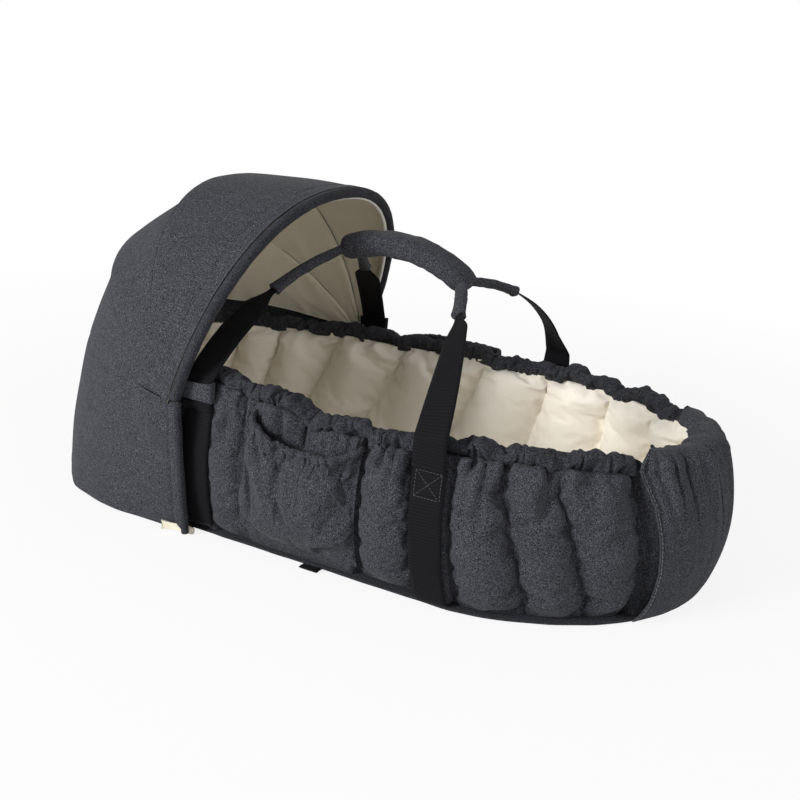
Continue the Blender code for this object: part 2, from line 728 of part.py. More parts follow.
clear_scene()
parts = bpy.data.collections.new("baby_nest")
bpy.context.scene.collection.children.link(parts)
cutters = bpy.data.collections.new("cutters")
bpy.context.scene.collection.children.link(cutters)
denim = make_material("denim_fabric", (0.035, 0.038, 0.045), 0.9)
cream = make_material("cream_cotton", (0.80, 0.74, 0.62), 0.9)
webbing = make_material("black_webbing", (0.012, 0.012, 0.014), 0.75)
rubber = make_material("elastic", (0.02, 0.02, 0.022), 0.8)
board = make_material("board", (0.35, 0.30, 0.24), 0.7)
foam = make_material("foam_pad", (0.82, 0.80, 0.74), 0.95)
stay = make_material("plastic_stay", (0.06, 0.06, 0.06), 0.5)
STATION_LIST = outline_stations(STATIONS)
HINGE_Y = side_y(REAR_STRAP_X, HINGE_Z, CLEARANCE + WEBBING_THICKNESS / 2)
make_base()
make_walls()
make_rim()
make_foot_cover()
for side_name, side in (("near", -1), ("far", 1)):
    make_pocket(side_name, side)
    wall_strap(f"{side_name}_front_webbing", side, FRONT_STRAP_X, FRONT_STRAP_BOTTOM, 0.0)
    wall_strap(f"{side_name}_rear_webbing", side, REAR_STRAP_X, REAR_STRAP_BOTTOM, REAR_STRAP_LEAN)
    make_handle(side_name, side)
    make_loop(f"{side_name}_strap_loop", side)
make_grip_sleeve()
make_hood()
make_skirt()
make_tabs()
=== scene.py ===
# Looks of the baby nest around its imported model. Metres, +X to the foot end, -Y to the near side, +Z up.
import math

import bpy
import numpy as np
from mathutils import Matrix, Vector


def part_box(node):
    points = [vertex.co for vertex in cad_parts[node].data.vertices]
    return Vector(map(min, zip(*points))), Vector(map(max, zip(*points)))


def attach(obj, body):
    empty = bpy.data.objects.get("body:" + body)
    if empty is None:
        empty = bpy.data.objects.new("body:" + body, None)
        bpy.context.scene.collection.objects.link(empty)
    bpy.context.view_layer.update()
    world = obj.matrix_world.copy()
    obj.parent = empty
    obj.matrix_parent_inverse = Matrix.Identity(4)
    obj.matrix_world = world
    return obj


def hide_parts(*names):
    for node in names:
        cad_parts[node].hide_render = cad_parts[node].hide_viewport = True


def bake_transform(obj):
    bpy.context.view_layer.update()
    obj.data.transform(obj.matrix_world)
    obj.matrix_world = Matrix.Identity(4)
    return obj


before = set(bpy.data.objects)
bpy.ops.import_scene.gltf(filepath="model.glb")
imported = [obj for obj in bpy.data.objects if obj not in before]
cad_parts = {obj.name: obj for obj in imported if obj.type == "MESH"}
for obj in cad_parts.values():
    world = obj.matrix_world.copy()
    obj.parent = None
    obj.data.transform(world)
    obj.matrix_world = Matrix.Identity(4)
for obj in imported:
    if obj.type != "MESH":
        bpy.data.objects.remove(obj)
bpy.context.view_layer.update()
print("frame loaded")

# Camera, floor and light

cameraSet = {
    "azimuth": 25.802, "elevation": 18.417, "roll": 4.0,  # degrees, fitted to the photograph
    "distance": 1.04471, "target": (0.02945, 0.02166, 0.12431),
    "focalPixels": 894.95, "imagePixels": 800, "sensorWidth": 36.0,
}


def makeCamera():
    azimuth, elevation, roll = (math.radians(cameraSet[k]) for k in ("azimuth", "elevation", "roll"))
    back = Vector((math.sin(azimuth) * math.cos(elevation), -math.cos(azimuth) * math.cos(elevation),
                   math.sin(elevation)))
    right = Vector((math.cos(azimuth), math.sin(azimuth), 0))
    up = back.cross(right)
    turnedRight = right * math.cos(roll) + up * math.sin(roll)
    turnedUp = up * math.cos(roll) - right * math.sin(roll)
    data = bpy.data.cameras.new("photoCamera")
    data.sensor_width = cameraSet["sensorWidth"]
    data.lens = cameraSet["focalPixels"] * cameraSet["sensorWidth"] / cameraSet["imagePixels"]
    camera = addObject("photoCamera", data)
    camera.matrix_world = Matrix.Translation(Vector(cameraSet["target"]) + back * cameraSet["distance"]) @ Matrix(
        (turnedRight, turnedUp, back)).transposed().to_4x4()
    bpy.context.scene.camera = camera


def hexColour(code):
    parts = [int(code[i:i + 2], 16) / 255 for i in (1, 3, 5)]
    return (*[c / 12.92 if c <= 0.04045 else ((c + 0.055) / 1.055) ** 2.4 for c in parts], 1.0)


def addNode(tree, kind, settings=None, links=None):
    node = tree.nodes.new("ShaderNode" + kind)
    for key, value in (settings or {}).items():
        if isinstance(key, int) or key in node.inputs:
            node.inputs[key].default_value = value
        else:
            setattr(node, key, value)
    for key, source in (links or {}).items():
        tree.links.new(source, node.inputs[key])
    return node


def addObject(name, data):
    thing = bpy.data.objects.new(name, data)
    bpy.context.scene.collection.objects.link(thing)
    return thing


def newMaterial(name):
    material = bpy.data.materials.new(name)
    material.use_nodes = True
    material.node_tree.nodes.clear()
    return material, material.node_tree


lightSet = {
    "worldStrength": 0.38, "aim": (0.0, 0.0, 0.12),
    "key": {"size": 1.4, "energy": 158.0, "place": (-1.9, -3.4, 1.55)},
    "fill": {"size": 1.6, "energy": 10.0, "place": (2.1, -0.35, 0.9)},
    "top": {"size": 1.0, "energy": 2.0, "place": (0.60, -0.55, 1.85)},
}
floorSet = {"size": 60.0, "height": -0.0006, "colour": "#f7f7f6", "glow": 0.86, "fadeFrom": 0.6, "fadeTo": 1.6}


def makeStage():
    material, tree = newMaterial("paleStudioFloor")
    path = addNode(tree, "LightPath")
    plain = addNode(tree, "BsdfDiffuse", {"Color": hexColour(floorSet["colour"])})
    glow = addNode(tree, "Emission", {"Color": (1, 1, 1, 1), "Strength": 1.0})
    place = addNode(tree, "TexCoord").outputs["Object"]
    away = addNode(tree, "VectorMath", {"operation": "LENGTH"}, {0: place}).outputs["Value"]
    fade = addNode(tree, "MapRange", {"From Min": floorSet["fadeFrom"], "From Max": floorSet["fadeTo"],
                                      "To Min": floorSet["glow"], "To Max": 1.0}, {"Value": away})
    seen = addNode(tree, "Math", {"operation": "MULTIPLY"},
                   {0: path.outputs["Is Camera Ray"], 1: fade.outputs[0]})
    both = addNode(tree, "MixShader", {}, {0: seen.outputs[0], 1: plain.outputs[0], 2: glow.outputs[0]})
    addNode(tree, "OutputMaterial", {}, {"Surface": both.outputs[0]})
    half = floorSet["size"] / 2
    mesh = bpy.data.meshes.new("studioFloor")
    mesh.from_pydata([(x * half, y * half, floorSet["height"]) for x, y in ((-1, -1), (1, -1), (1, 1), (-1, 1))],
                     [], [(0, 1, 2, 3)])
    mesh.materials.append(material)
    addObject("studioFloor", mesh)
    world = bpy.data.worlds.new("studioWorld")
    bpy.context.scene.world = world
    world.use_nodes = True
    tree = world.node_tree
    tree.nodes.clear()
    path = addNode(tree, "LightPath")
    strength = addNode(tree, "Mix", {2: lightSet["worldStrength"], 3: 1.0},
                       {0: path.outputs["Is Camera Ray"]})
    sky = addNode(tree, "Background", {"Color": (1, 1, 1, 1)}, {"Strength": strength.outputs[0]})
    addNode(tree, "OutputWorld", {}, {"Surface": sky.outputs[0]})
    for name in ("key", "fill", "top"):
        lamp = lightSet[name]
        data = bpy.data.lights.new(name + "Softbox", "AREA")
        data.size, data.energy = lamp["size"], lamp["energy"]
        light = addObject(name + "Softbox", data)
        light.location = lamp["place"]
        light.rotation_euler = (Vector(lightSet["aim"]) - light.location).to_track_quat("-Z", "Y").to_euler()
    bpy.context.scene.view_settings.view_transform = "Standard"


makeCamera()
makeStage()
print("camera, floor and light made")

# Materials. Every scale is worked out from a size in millimetres on the object.


def perMillimetre(size):
    return 1000.0 / size


def joinFinish(tree, toned, height, strength, distance, values):
    bump = addNode(tree, "Bump", {"Strength": strength, "Distance": distance}, {"Height": height})
    shader = addNode(tree, "BsdfPrincipled", values,
                     {"Base Color": toned.outputs[0], "Normal": bump.outputs[0]})
    addNode(tree, "OutputMaterial", {}, {"Surface": shader.outputs[0]})


clothSet = {"patchMm": 22.0, "darkTo": 0.40, "lightFrom": 0.58, "fleckStretch": (1.0, 1.0, 1.9), "bump": 0.55}


def wovenCloth(name, dark, light, fleck, threadMm, fleckShare, mottle, sheen, roughness, bumpMm):
    # Yarns in two tones, stray fibres and a slow mottle over the whole cloth.
    material, tree = newMaterial(name)
    place = addNode(tree, "TexCoord").outputs["Object"]
    threads = addNode(tree, "TexNoise", {"Scale": perMillimetre(threadMm), "Detail": 3.0,
                                         "Roughness": 0.65}, {"Vector": place})
    patches = addNode(tree, "TexNoise", {"Scale": perMillimetre(clothSet["patchMm"]), "Detail": 2.0},
                      {"Vector": place})
    spread = addNode(tree, "ValToRGB", {}, {"Fac": threads.outputs["Fac"]})
    for element, position, tone in zip(spread.color_ramp.elements, (clothSet["darkTo"], clothSet["lightFrom"]),
                                       (dark, light)):
        element.position, element.color = position, hexColour(tone)
    stretched = addNode(tree, "VectorMath", {"operation": "MULTIPLY", 1: clothSet["fleckStretch"]},
                        {0: place})
    flecks = addNode(tree, "TexNoise", {"Scale": perMillimetre(threadMm * 0.8), "Detail": 1.0},
                     {"Vector": stretched.outputs[0]})
    isFleck = addNode(tree, "MapRange", {"From Min": 0.72 - fleckShare, "From Max": 0.78 - fleckShare},
                      {"Value": flecks.outputs["Fac"]})
    colour = addNode(tree, "Mix", {"data_type": "RGBA", 7: hexColour(fleck)},
                     {0: isFleck.outputs[0], 6: spread.outputs["Color"]})
    shade = addNode(tree, "MapRange", {"From Min": 0.3, "From Max": 0.7, "To Min": 1.0 - mottle,
                                       "To Max": 1.0 + mottle}, {"Value": patches.outputs["Fac"]})
    toned = addNode(tree, "VectorMath", {"operation": "SCALE"},
                    {0: colour.outputs[2], "Scale": shade.outputs[0]})
    joinFinish(tree, toned, threads.outputs["Fac"], clothSet["bump"], bumpMm / 1000,
               {"Roughness": roughness, "Sheen Weight": sheen, "Sheen Roughness": 0.45,
                "Specular IOR Level": 0.12})
    return material


# Polyester wool-look melange, woven: two greys of yarn and stray pale fibres, matt with a faint haze at the edges.
# The yarn is 0.4 mm. It is drawn at 1.15 mm, coarser than it is, because the render shows no finer one.
melangeCloth = wovenCloth("melangeWovenPolyester", "#1a1b1f", "#47484e", "#8b8c92", threadMm=1.15,
                          fleckShare=0.06, mottle=0.05, sheen=0.06, roughness=0.95, bumpMm=0.5)
# The same cloth for the rim, the hood's hem and the base cover, with painted shade: its yarn colours are set darker
# to stand in for the shade that tight folds hold.
gatheredClothPaintedShade = wovenCloth("melangeGatheredCasingPaintedShade", "#18191c", "#3f4046", "#7a7b80", threadMm=1.15,
                           fleckShare=0.04, mottle=0.05, sheen=0.05, roughness=0.95, bumpMm=0.5)
# Unbleached cotton percale, woven: warm cream, matt and even, its thread barely seen. The 0.3 mm thread of this and
# the next two cloths is drawn at 0.9 mm.
creamCotton = wovenCloth("unbleachedCottonPercale", "#f0e9db", "#f6f0e5", "#fbf8f1", threadMm=0.9,
                         fleckShare=0.0, mottle=0.015, sheen=0.12, roughness=0.85, bumpMm=0.12)
# Polycotton lining of the hood, woven thin: a greyer cream that creases sharply.
hoodLiningCloth = wovenCloth("polycottonLining", "#e4dcc8", "#ece5d3", "#f3eddd", threadMm=0.9,
                             fleckShare=0.0, mottle=0.02, sheen=0.1, roughness=0.8, bumpMm=0.12)
# White cotton piping cord cover, woven.
whitePiping = wovenCloth("whiteCottonPiping", "#f1efe9", "#f8f6f1", "#ffffff", threadMm=0.9,
                         fleckShare=0.0, mottle=0.01, sheen=0.1, roughness=0.8, bumpMm=0.1)


def ribbedWebbing(name, colour, valley, ribMm, along, roughness):
    # ribMm is the width of a rib, and the valley beside it is as wide.
    material, tree = newMaterial(name)
    place = addNode(tree, "UVMap", {"uv_map": "strapMetres"}).outputs[0]
    ribs = addNode(tree, "TexWave", {"wave_type": "BANDS", "bands_direction": along,
                                     "Scale": perMillimetre(ribMm) / 20.0 * math.pi,
                                     "Distortion": 0.4, "Detail": 1.0, "Detail Scale": 3.0},
                   {"Vector": place})
    yarn = addNode(tree, "TexNoise", {"Scale": perMillimetre(1.0), "Detail": 2.0}, {"Vector": place})
    tint = addNode(tree, "Mix", {"data_type": "RGBA", 6: hexColour(valley), 7: hexColour(colour)},
                   {0: ribs.outputs["Fac"]})
    worn = addNode(tree, "MapRange", {"From Min": 0.35, "From Max": 0.75, "To Min": 0.85, "To Max": 1.2},
                   {"Value": yarn.outputs["Fac"]})
    toned = addNode(tree, "VectorMath", {"operation": "SCALE"},
                    {0: tint.outputs[2], "Scale": worn.outputs[0]})
    joinFinish(tree, toned, ribs.outputs["Fac"], 0.6, 0.0004,
               {"Roughness": roughness, "Sheen Weight": 0.03, "Sheen Roughness": 0.4, "Specular IOR Level": 0.10})
    return material


# Polypropylene webbing, woven tight: near black, with fine ribs across the strap and a dull sheen.
blackWebbing = ribbedWebbing("polypropyleneWebbing", "#151518", "#0f0f12", ribMm=1.6, along="Y", roughness=0.75)
# Knitted elastic braid: black, with narrow ribs along it.
blackElastic = ribbedWebbing("knittedElasticBraid", "#232326", "#0f0f11", ribMm=1.2, along="X", roughness=0.75)


def plainFinish(name, colour, grainMm, roughness, bumpMm):
    material, tree = newMaterial(name)
    place = addNode(tree, "TexCoord").outputs["Object"]
    grain = addNode(tree, "TexNoise", {"Scale": perMillimetre(grainMm), "Detail": 3.0}, {"Vector": place})
    shade = addNode(tree, "MapRange", {"To Min": 0.85, "To Max": 1.15}, {"Value": grain.outputs["Fac"]})
    toned = addNode(tree, "VectorMath", {"operation": "SCALE", 0: hexColour(colour)[:3]},
                    {"Scale": shade.outputs[0]})
    joinFinish(tree, toned, grain.outputs["Fac"], 0.5, bumpMm / 1000, {"Roughness": roughness})
    return material


# Spun polyester sewing thread: mid grey, slightly shiny, twisted too fine to see.
greyThread = plainFinish("spunPolyesterThread", "#77777b", grainMm=1.0, roughness=0.55, bumpMm=0.05)
# The same thread in dark grey, duller, for the box stitching.
darkThread = plainFinish("darkPolyesterThread", "#47474c", grainMm=1.0, roughness=0.6, bumpMm=0.05)
# Acetal, injection moulded: the hood's hidden joint buttons and stays, satin black.
mouldedAcetal = plainFinish("mouldedAcetal", "#1d1d1f", grainMm=2.0, roughness=0.42, bumpMm=0.05)
# Pressed grey board, milled: the stiff insert in the base.
pressedBoard = plainFinish("pressedFibreBoard", "#8a7f6d", grainMm=1.5, roughness=0.8, bumpMm=0.1)
print("materials made")

# Mesh helpers


def smooth(value):
    value = np.clip(value, 0.0, 1.0)
    return value * value * (3 - 2 * value)


def mix(a, b, share):
    return a + (b - a) * share


def lumps(u, v, seed, wrap=1024):
    # Even noise from -1 to 1, one lump for each unit of u and v. u closes on itself after wrap units.
    table = np.random.default_rng(seed).uniform(-1, 1, (1024, 64))
    u, v = np.broadcast_arrays(u, v)
    left, low = np.floor(u).astype(int), np.floor(v).astype(int)
    a, b = smooth(u - left), smooth(v - low)
    lowRow = mix(table[left % wrap, low % 64], table[(left + 1) % wrap, low % 64], a)
    highRow = mix(table[left % wrap, (low + 1) % 64], table[(left + 1) % wrap, (low + 1) % 64], a)
    return mix(lowRow, highRow, b)


def hump(distance, width):
    # 1 where the distance is 0, and nothing a few widths away.
    return np.exp(-(distance / width) ** 2)


def creased(noise):
    # Rounded folds with sharp valleys between them.
    return 2 * np.abs(noise) ** 0.6 - 1


def unit(vectors):
    return vectors / np.maximum(np.linalg.norm(vectors, axis=-1, keepdims=True), 1e-12)


def reachOf(path):
    # How far along the path each of its points is.
    return np.concatenate([[0], np.cumsum(np.linalg.norm(np.diff(path, axis=0), axis=1))])


def placeAt(stops, reach, path):
    return np.stack([np.interp(stops, reach, path[:, k]) for k in range(path.shape[1])], -1)


def evenly(path, count):
    reach = reachOf(path)
    return placeAt(np.linspace(0, reach[-1], count), reach, path)


def anglesRound(count):
    return np.linspace(0, 2 * math.pi, count, endpoint=False)


def unitGrid(rows, columns):
    return np.meshgrid(np.linspace(0, 1, rows), np.linspace(0, 1, columns), indexing="ij")


def gridFaces(rows, columns, closedRows=False, closedColumns=False, start=0):
    i = np.arange(rows if closedRows else rows - 1)
    j = np.arange(columns if closedColumns else columns - 1)
    a, b = np.meshgrid(i, j, indexing="ij")
    nextA, nextB = (a + 1) % rows, (b + 1) % columns
    corners = (a * columns + b, nextA * columns + b, nextA * columns + nextB, a * columns + nextB)
    return (np.stack(corners, -1).reshape(-1, 4) + start).tolist()


def tubeFaces(rings, sides, start=0):
    # The faces of a tube that is closed at both ends.
    first = [start + k for k in range(sides)]
    return [*gridFaces(rings, sides, False, True, start), first, [(rings - 1) * sides + k for k in first][::-1]]


def newPiece(name, points, faces, materials, body, replaced=(), inside=None, uv=None):
    mesh = bpy.data.meshes.new(name)
    mesh.from_pydata(np.asarray(points, float).reshape(-1, 3).tolist(), [], faces)
    for material in materials:
        mesh.materials.append(material)
    if inside is not None:
        mesh.polygons.foreach_set("material_index", np.asarray(inside, np.int32))
    if uv is not None:
        layer = mesh.uv_layers.new(name="strapMetres")
        corners = np.zeros(len(mesh.loops), np.int32)
        mesh.loops.foreach_get("vertex_index", corners)
        layer.data.foreach_set("uv", np.asarray(uv, np.float32).reshape(-1, 2)[corners].ravel())
    mesh.shade_smooth()
    mesh.update()
    piece = addObject(name, mesh)
    turnOutward(mesh)
    if body:
        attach(piece, body)
    if replaced:
        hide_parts(*replaced)
    return piece


def turnOutward(mesh):
    # A closed mesh whose faces look inward has a negative volume.
    count = len(mesh.vertices)
    points = np.zeros(count * 3)
    mesh.vertices.foreach_get("co", points)
    points = points.reshape(-1, 3)
    mesh.calc_loop_triangles()
    corners = np.zeros(len(mesh.loop_triangles) * 3, np.int32)
    mesh.loop_triangles.foreach_get("vertices", corners)
    a, b, c = (points[corners.reshape(-1, 3)[:, k]] for k in range(3))
    if np.einsum("ij,ij->i", a, np.cross(b, c)).sum() < 0:
        mesh.flip_normals()


def outwardOf(face, closedRows=False):
    # The direction each point of a grid faces, away from the middle of the nest.
    along = np.gradient(face, axis=0)
    if closedRows:
        along = np.roll(face, -1, 0) - np.roll(face, 1, 0)
    normal = unit(np.cross(along, np.gradient(face, axis=1)))
    if np.einsum("ijk,ijk->", normal, face - np.array([-0.05, 0, 0.1])) < 0:
        normal = -normal
    return normal


def refined(grid, axis):
    # A grid with twice the steps along an axis, on the cubic spline through them. Its ends stay.
    grid = np.moveaxis(grid, axis, 0)
    even = grid.copy()
    even[1:-1] = (grid[:-2] + 6 * grid[1:-1] + grid[2:]) / 8
    found = np.empty((2 * len(grid) - 1, *grid.shape[1:]))
    found[::2], found[1::2] = even, (grid[:-1] + grid[1:]) / 2
    return np.moveaxis(found, 0, axis)


def shell(name, face, thickness, materials, body, replaced=(), closedRows=False):
    # A sheet of cloth with a real thickness: the grid of points is its outer face.
    rows, columns = face.shape[:2]
    back = face - outwardOf(face, closedRows) * thickness
    count = rows * columns
    faces = gridFaces(rows, columns, closedRows)
    inside = [0] * len(faces)
    backFaces = [quad[::-1] for quad in gridFaces(rows, columns, closedRows, start=count)]
    faces += backFaces
    inside += [len(materials) - 1] * len(backFaces)
    index = np.arange(count).reshape(rows, columns)
    edges = [index[:, 0][::-1], index[:, -1]]
    if not closedRows:
        edges += [index[0], index[-1][::-1]]
    for edge in edges:
        edge = list(edge) + ([edge[0]] if closedRows else [])
        for a, b in zip(edge, edge[1:]):
            faces.append((int(a), int(b), int(b) + count, int(a) + count)[::-1])
            inside.append(0)
    return newPiece(name, np.concatenate([face.reshape(-1, 3), back.reshape(-1, 3)]), faces, materials, body,
                    replaced, inside)


def tube(name, path, radius, materials, body, replaced=(), sides=16, flatten=None, bumps=None):
    # A round or flattened tube along a path. flatten is (width axis, share of the radius across it).
    path = np.asarray(path, float)
    count = len(path)
    along = unit(np.gradient(path, axis=0))
    wide = np.broadcast_to(np.asarray(flatten[0] if flatten else (0.31, 0.17, 0.94), float), path.shape)
    wide = unit(wide - along * np.einsum("ij,ij->i", along, wide)[:, None])
    high = np.cross(along, wide)
    angle = anglesRound(sides)
    radii = np.broadcast_to(np.asarray(radius, float).reshape(-1, 1), (count, 1)) * np.ones((1, sides))
    if bumps is not None:
        radii = radii * bumps
    squeeze = flatten[1] if flatten else 1.0
    squeeze = np.broadcast_to(np.asarray(squeeze, float).reshape(-1, 1, 1), (count, 1, 1))
    ring = (path[:, None] + wide[:, None] * (radii * np.cos(angle))[..., None]
            + high[:, None] * (radii * np.sin(angle))[..., None] * squeeze)
    return newPiece(name, ring, tubeFaces(count, sides), materials, body, replaced)


def strap(name, path, across, width, thickness, materials, body, replaced=(), divisions=8):
    # Webbing along a path: a flat band with a real thickness, its ribs laid out by metres along it.
    path, across = np.asarray(path, float), np.asarray(across, float)
    along = unit(np.gradient(path, axis=0))
    across = np.broadcast_to(across, path.shape)
    across = unit(across - along * np.einsum("ij,ij->i", along, across)[:, None])
    normal = np.cross(along, across)
    width = np.broadcast_to(np.asarray(width, float), (len(path),))
    steps = np.linspace(-0.5, 0.5, divisions + 1)
    edge = np.sqrt(np.clip(1 - (2 * steps) ** 8, 0.06, 1))
    lengths = reachOf(path)
    rings, uv = [], []
    for side in (1, -1):
        for step, rise in zip(steps[::side], edge):
            rings.append(path + across * (width * step)[:, None] + normal * (side * rise * thickness / 2))
            uv.append(np.stack([np.full(len(path), step * float(width.max())), lengths], -1))
    rings = np.stack(rings, 1)
    return newPiece(name, rings, tubeFaces(len(path), rings.shape[1]), materials, body, replaced,
                    uv=np.stack(uv, 1))


stitchShape = {"along": np.array([0.0, 0.12, 0.5, 0.88, 1.0]), "thick": (0.35, 0.9, 1.0, 0.9, 0.35), "sides": 6}


def stitches(name, lines, material, length=0.0032, gap=0.0013, radius=0.00032, facing=(0, 0, 1)):
    # A row of sewn stitches along each line of points: short thread capsules, sunk halfway into the cloth.
    points, faces = [], []
    sides = stitchShape["sides"]
    angle = anglesRound(sides)
    for line in lines:
        reach = reachOf(line)
        at = 0.0
        while at + length <= reach[-1]:
            centre = placeAt(at + length * stitchShape["along"], reach, line)
            along = unit(centre[-1] - centre[0])
            wide = unit(np.cross(along, facing) + 1e-9)
            high = np.cross(wide, along)
            start = len(points)
            for c, size in zip(centre, stitchShape["thick"]):
                for a in angle:
                    points.append(c + (wide * math.cos(a) + high * math.sin(a)) * radius * size)
            faces += tubeFaces(len(centre), sides, start)
            at += length + gap
    return newPiece(name, np.array(points), faces, [material], "nest")


# The nest's outline, the same numbers as the solids were made from

nest = {
    "footX": 0.390, "headX": -0.372, "halfWidth": 0.176, "endLength": 0.200, "footPower": 1.5, "headPower": 2.2,
    "bulge": 0.0175, "lean": 0.040, "leanStart": -0.130, "leanLength": 0.150,
    "wall": 0.0144, "liner": 0.020, "floor": 0.0029, "casing": 0.012,
}


def outlineTable(count=4000):
    angle = np.linspace(0, 2 * math.pi, count + 1)
    c, s = np.cos(angle), np.sin(angle)
    power = np.where(c >= 0, nest["footPower"], nest["headPower"])
    end = np.where(c >= 0, nest["footX"] - nest["endLength"], nest["headX"] + nest["endLength"])
    return np.stack([end + np.sign(c) * nest["endLength"] * np.abs(c) ** (2 / power), nest["halfWidth"] * s], -1)


outlinePoints = outlineTable()
outlineReach = reachOf(outlinePoints)
perimeter = outlineReach[-1]


def outlineAt(s):
    # s runs from 0 at the foot's tip over the far side to 1: places and outward normals.
    def place(t):
        return placeAt(np.mod(t, perimeter), outlineReach, outlinePoints)
    t = np.asarray(s, float) * perimeter
    along = unit(place(t + 0.006) - place(t - 0.006))
    return place(t), np.stack([along[..., 1], -along[..., 0]], -1)


# Height of the rim's top along each side, read off the photograph.
rimTops = {
    "near": ((-0.36, 0.176), (-0.15, 0.182), (-0.076, 0.183), (-0.04, 0.176), (0.0, 0.171), (0.031, 0.163),
             (0.076, 0.160), (0.129, 0.160), (0.179, 0.165), (0.248, 0.168), (0.31, 0.166), (0.39, 0.163)),
    "far": ((-0.36, 0.172), (-0.30, 0.166), (-0.20, 0.161), (-0.048, 0.159), (0.066, 0.163), (0.161, 0.158),
            (0.224, 0.158), (0.33, 0.158), (0.39, 0.163)),
}


def rimTop(x, y):
    near, far = (np.interp(x, *zip(*rimTops[side])) for side in ("near", "far"))
    return mix(near, far, smooth((y + 0.08) / 0.16))


def wallOffset(x, share):
    # How far the wall stands out from the base's outline. It bulges at the sides and leans in at the head.
    side = nest["bulge"] * np.sin(math.pi * np.minimum(1.0, share * 0.95 + 0.02)) ** 0.8
    return mix(side, -nest["lean"] * share, smooth((nest["leanStart"] - x) / nest["leanLength"]))


def wallFace(s, share, depth=0.0, casing=nest["casing"]):
    # A point of the wall, a depth inside its outer face. share is 0 at the base and 1 under the rim casing.
    s, share, depth = np.broadcast_arrays(np.asarray(s, float), share, depth)
    place, normal = outlineAt(s)
    offset = wallOffset(place[..., 0], share) - depth
    height = nest["floor"] + (rimTop(place[..., 0], place[..., 1]) - casing - nest["floor"]) * share
    return np.concatenate([place + normal * offset[..., None], height[..., None]], -1)


def besideWall(x, z, sign, standOff):
    # How far from the middle a thing lies that stands off the wall's side at a height z.
    share = (z - nest["floor"]) / (rimTop(x, sign * nest["halfWidth"]) - nest["casing"] - nest["floor"])
    return nest["halfWidth"] + wallOffset(x, np.clip(share, 0, 1)) + standOff


def bothSides(seams):
    return sorted(seams + [(1 - b, 1 - t) for b, t in seams])


# Seams of the quilted wall as (place at the base, place at the rim) round the outline, near side half.
outerSeams = bothSides([(0.9415, 0.934), (0.918, 0.893), (0.888, 0.866), (0.849, 0.843), (0.829, 0.823),
                        (0.796, 0.796), (0.762, 0.762), (0.729, 0.726), (0.699, 0.696), (0.662, 0.662),
                        (0.628, 0.628), (0.594, 0.594), (0.560, 0.560), (0.527, 0.527)])
linerSeams = bothSides([(0.985, 0.988), (0.948, 0.955), (0.906, 0.920), (0.866, 0.882), (0.817, 0.836),
                        (0.758, 0.793), (0.690, 0.732), (0.640, 0.678), (0.600, 0.636), (0.570, 0.598),
                        (0.538, 0.558), (0.508, 0.519)])

# What both quilted walls have in common. crowding, roundness and baseSwell are shares, and the rest are metres.
quiltSet = {"height": 0.15, "crowding": 0.115, "roundness": 2.1, "baseSwell": 0.35, "topFade": 0.022,
            "baseFade": 0.020, "ruffleWidth": 0.0115, "ruffleDrop": 0.010, "pleatWidth": 0.018, "pleatDrop": 0.040,
            "seamReach": 0.007, "gatherDrop": 0.026, "flatDepth": 0.0068, "calmDepth": 0.0100, "creaseDepth": 0.0050,
            "creaseWidth": 0.0035}
outerWallSet = {"cell": 0.0034, "up": 38, "seamDepth": 0.0165, "crest": 0.0030, "spare": 0.07, "sewnSpare": 0.04,
                "gather": 0.12, "pressure": 30.0, "bending": 0.5, "frames": 14, "reach": 0.013, "ruffle": 0.0034,
                "pleat": 0.0085, "top": 0.72, "crimp": 0.0058}
linerSet = {"cell": 0.0044, "up": 36, "seamDepth": -0.0160, "crest": 0.0030, "spare": 0.04, "sewnSpare": 0.02,
            "gather": 0.16, "pressure": 40.0, "bending": 2.0, "frames": 14, "reach": 0.012, "ruffle": 0.0020,
            "pleat": 0.0022, "top": 0.20, "crimp": 0.0010}

# What lies on the wall, for the wall to lie flat behind it.
webbingSet = {"width": 0.034, "thickness": 0.0018, "frontX": (0.172, 0.163), "rearX": (-0.102, -0.098),
              "frontFoot": (0.004, -0.0012), "rearFoot": (0.011, -0.0030),  # lowest height, stand-off
              "top": 0.1421, "box": (0.1385, 0.1150), "boxMargin": 0.004}
pocketSet = {
    "x": (-0.046, 0.089), "bottom": 0.014, "thickness": 0.0016, "belly": 0.010, "columns": 120, "rows": 52,
    "tops": {-1: {"ends": (0.150, 0.139), "sag": -0.017, "power": 0.7},
             1: {"ends": (0.156, 0.154), "sag": 0.003, "power": 1.0}},
    "seeds": {-1: 71, 1: 81}, "nearMouthCalm": 0.3, "sideRise": 0.030, "crease": 0.0065,
    "spare": 0.03, "gather": 0.12, "pressure": 14.0, "bending": 1.5, "frames": 14, "reach": 0.024, "crimp": 0.0024,
    "hemRadius": 0.0033,
}
heldSet = {"strap": 0.0195, "strapFade": 0.004, "pocketFade": 0.008, "pocketTop": 0.84, "skirtX": -0.108}
coverSet = {"columns": 420, "rows": 74, "thickness": 0.0016, "standOff": 0.0030, "casing": 0.009, "turnIn": 0.20,
            "narrowing": 0.13, "fold": 0.0050, "roll": 0.0175, "rollDegrees": 165,
            "edge": ((0.0, 0.0585), (0.17, 0.0555), (0.39, 0.0555), (0.62, 0.0575), (0.81, 0.0605), (1.0, 0.066))}

# Springs of the simulated cloth, the same for every piece of it.
clothPhysics = {"stiffness": 12.0, "shear": 0.35, "mass": 0.002, "air": 1.5, "quality": 5}


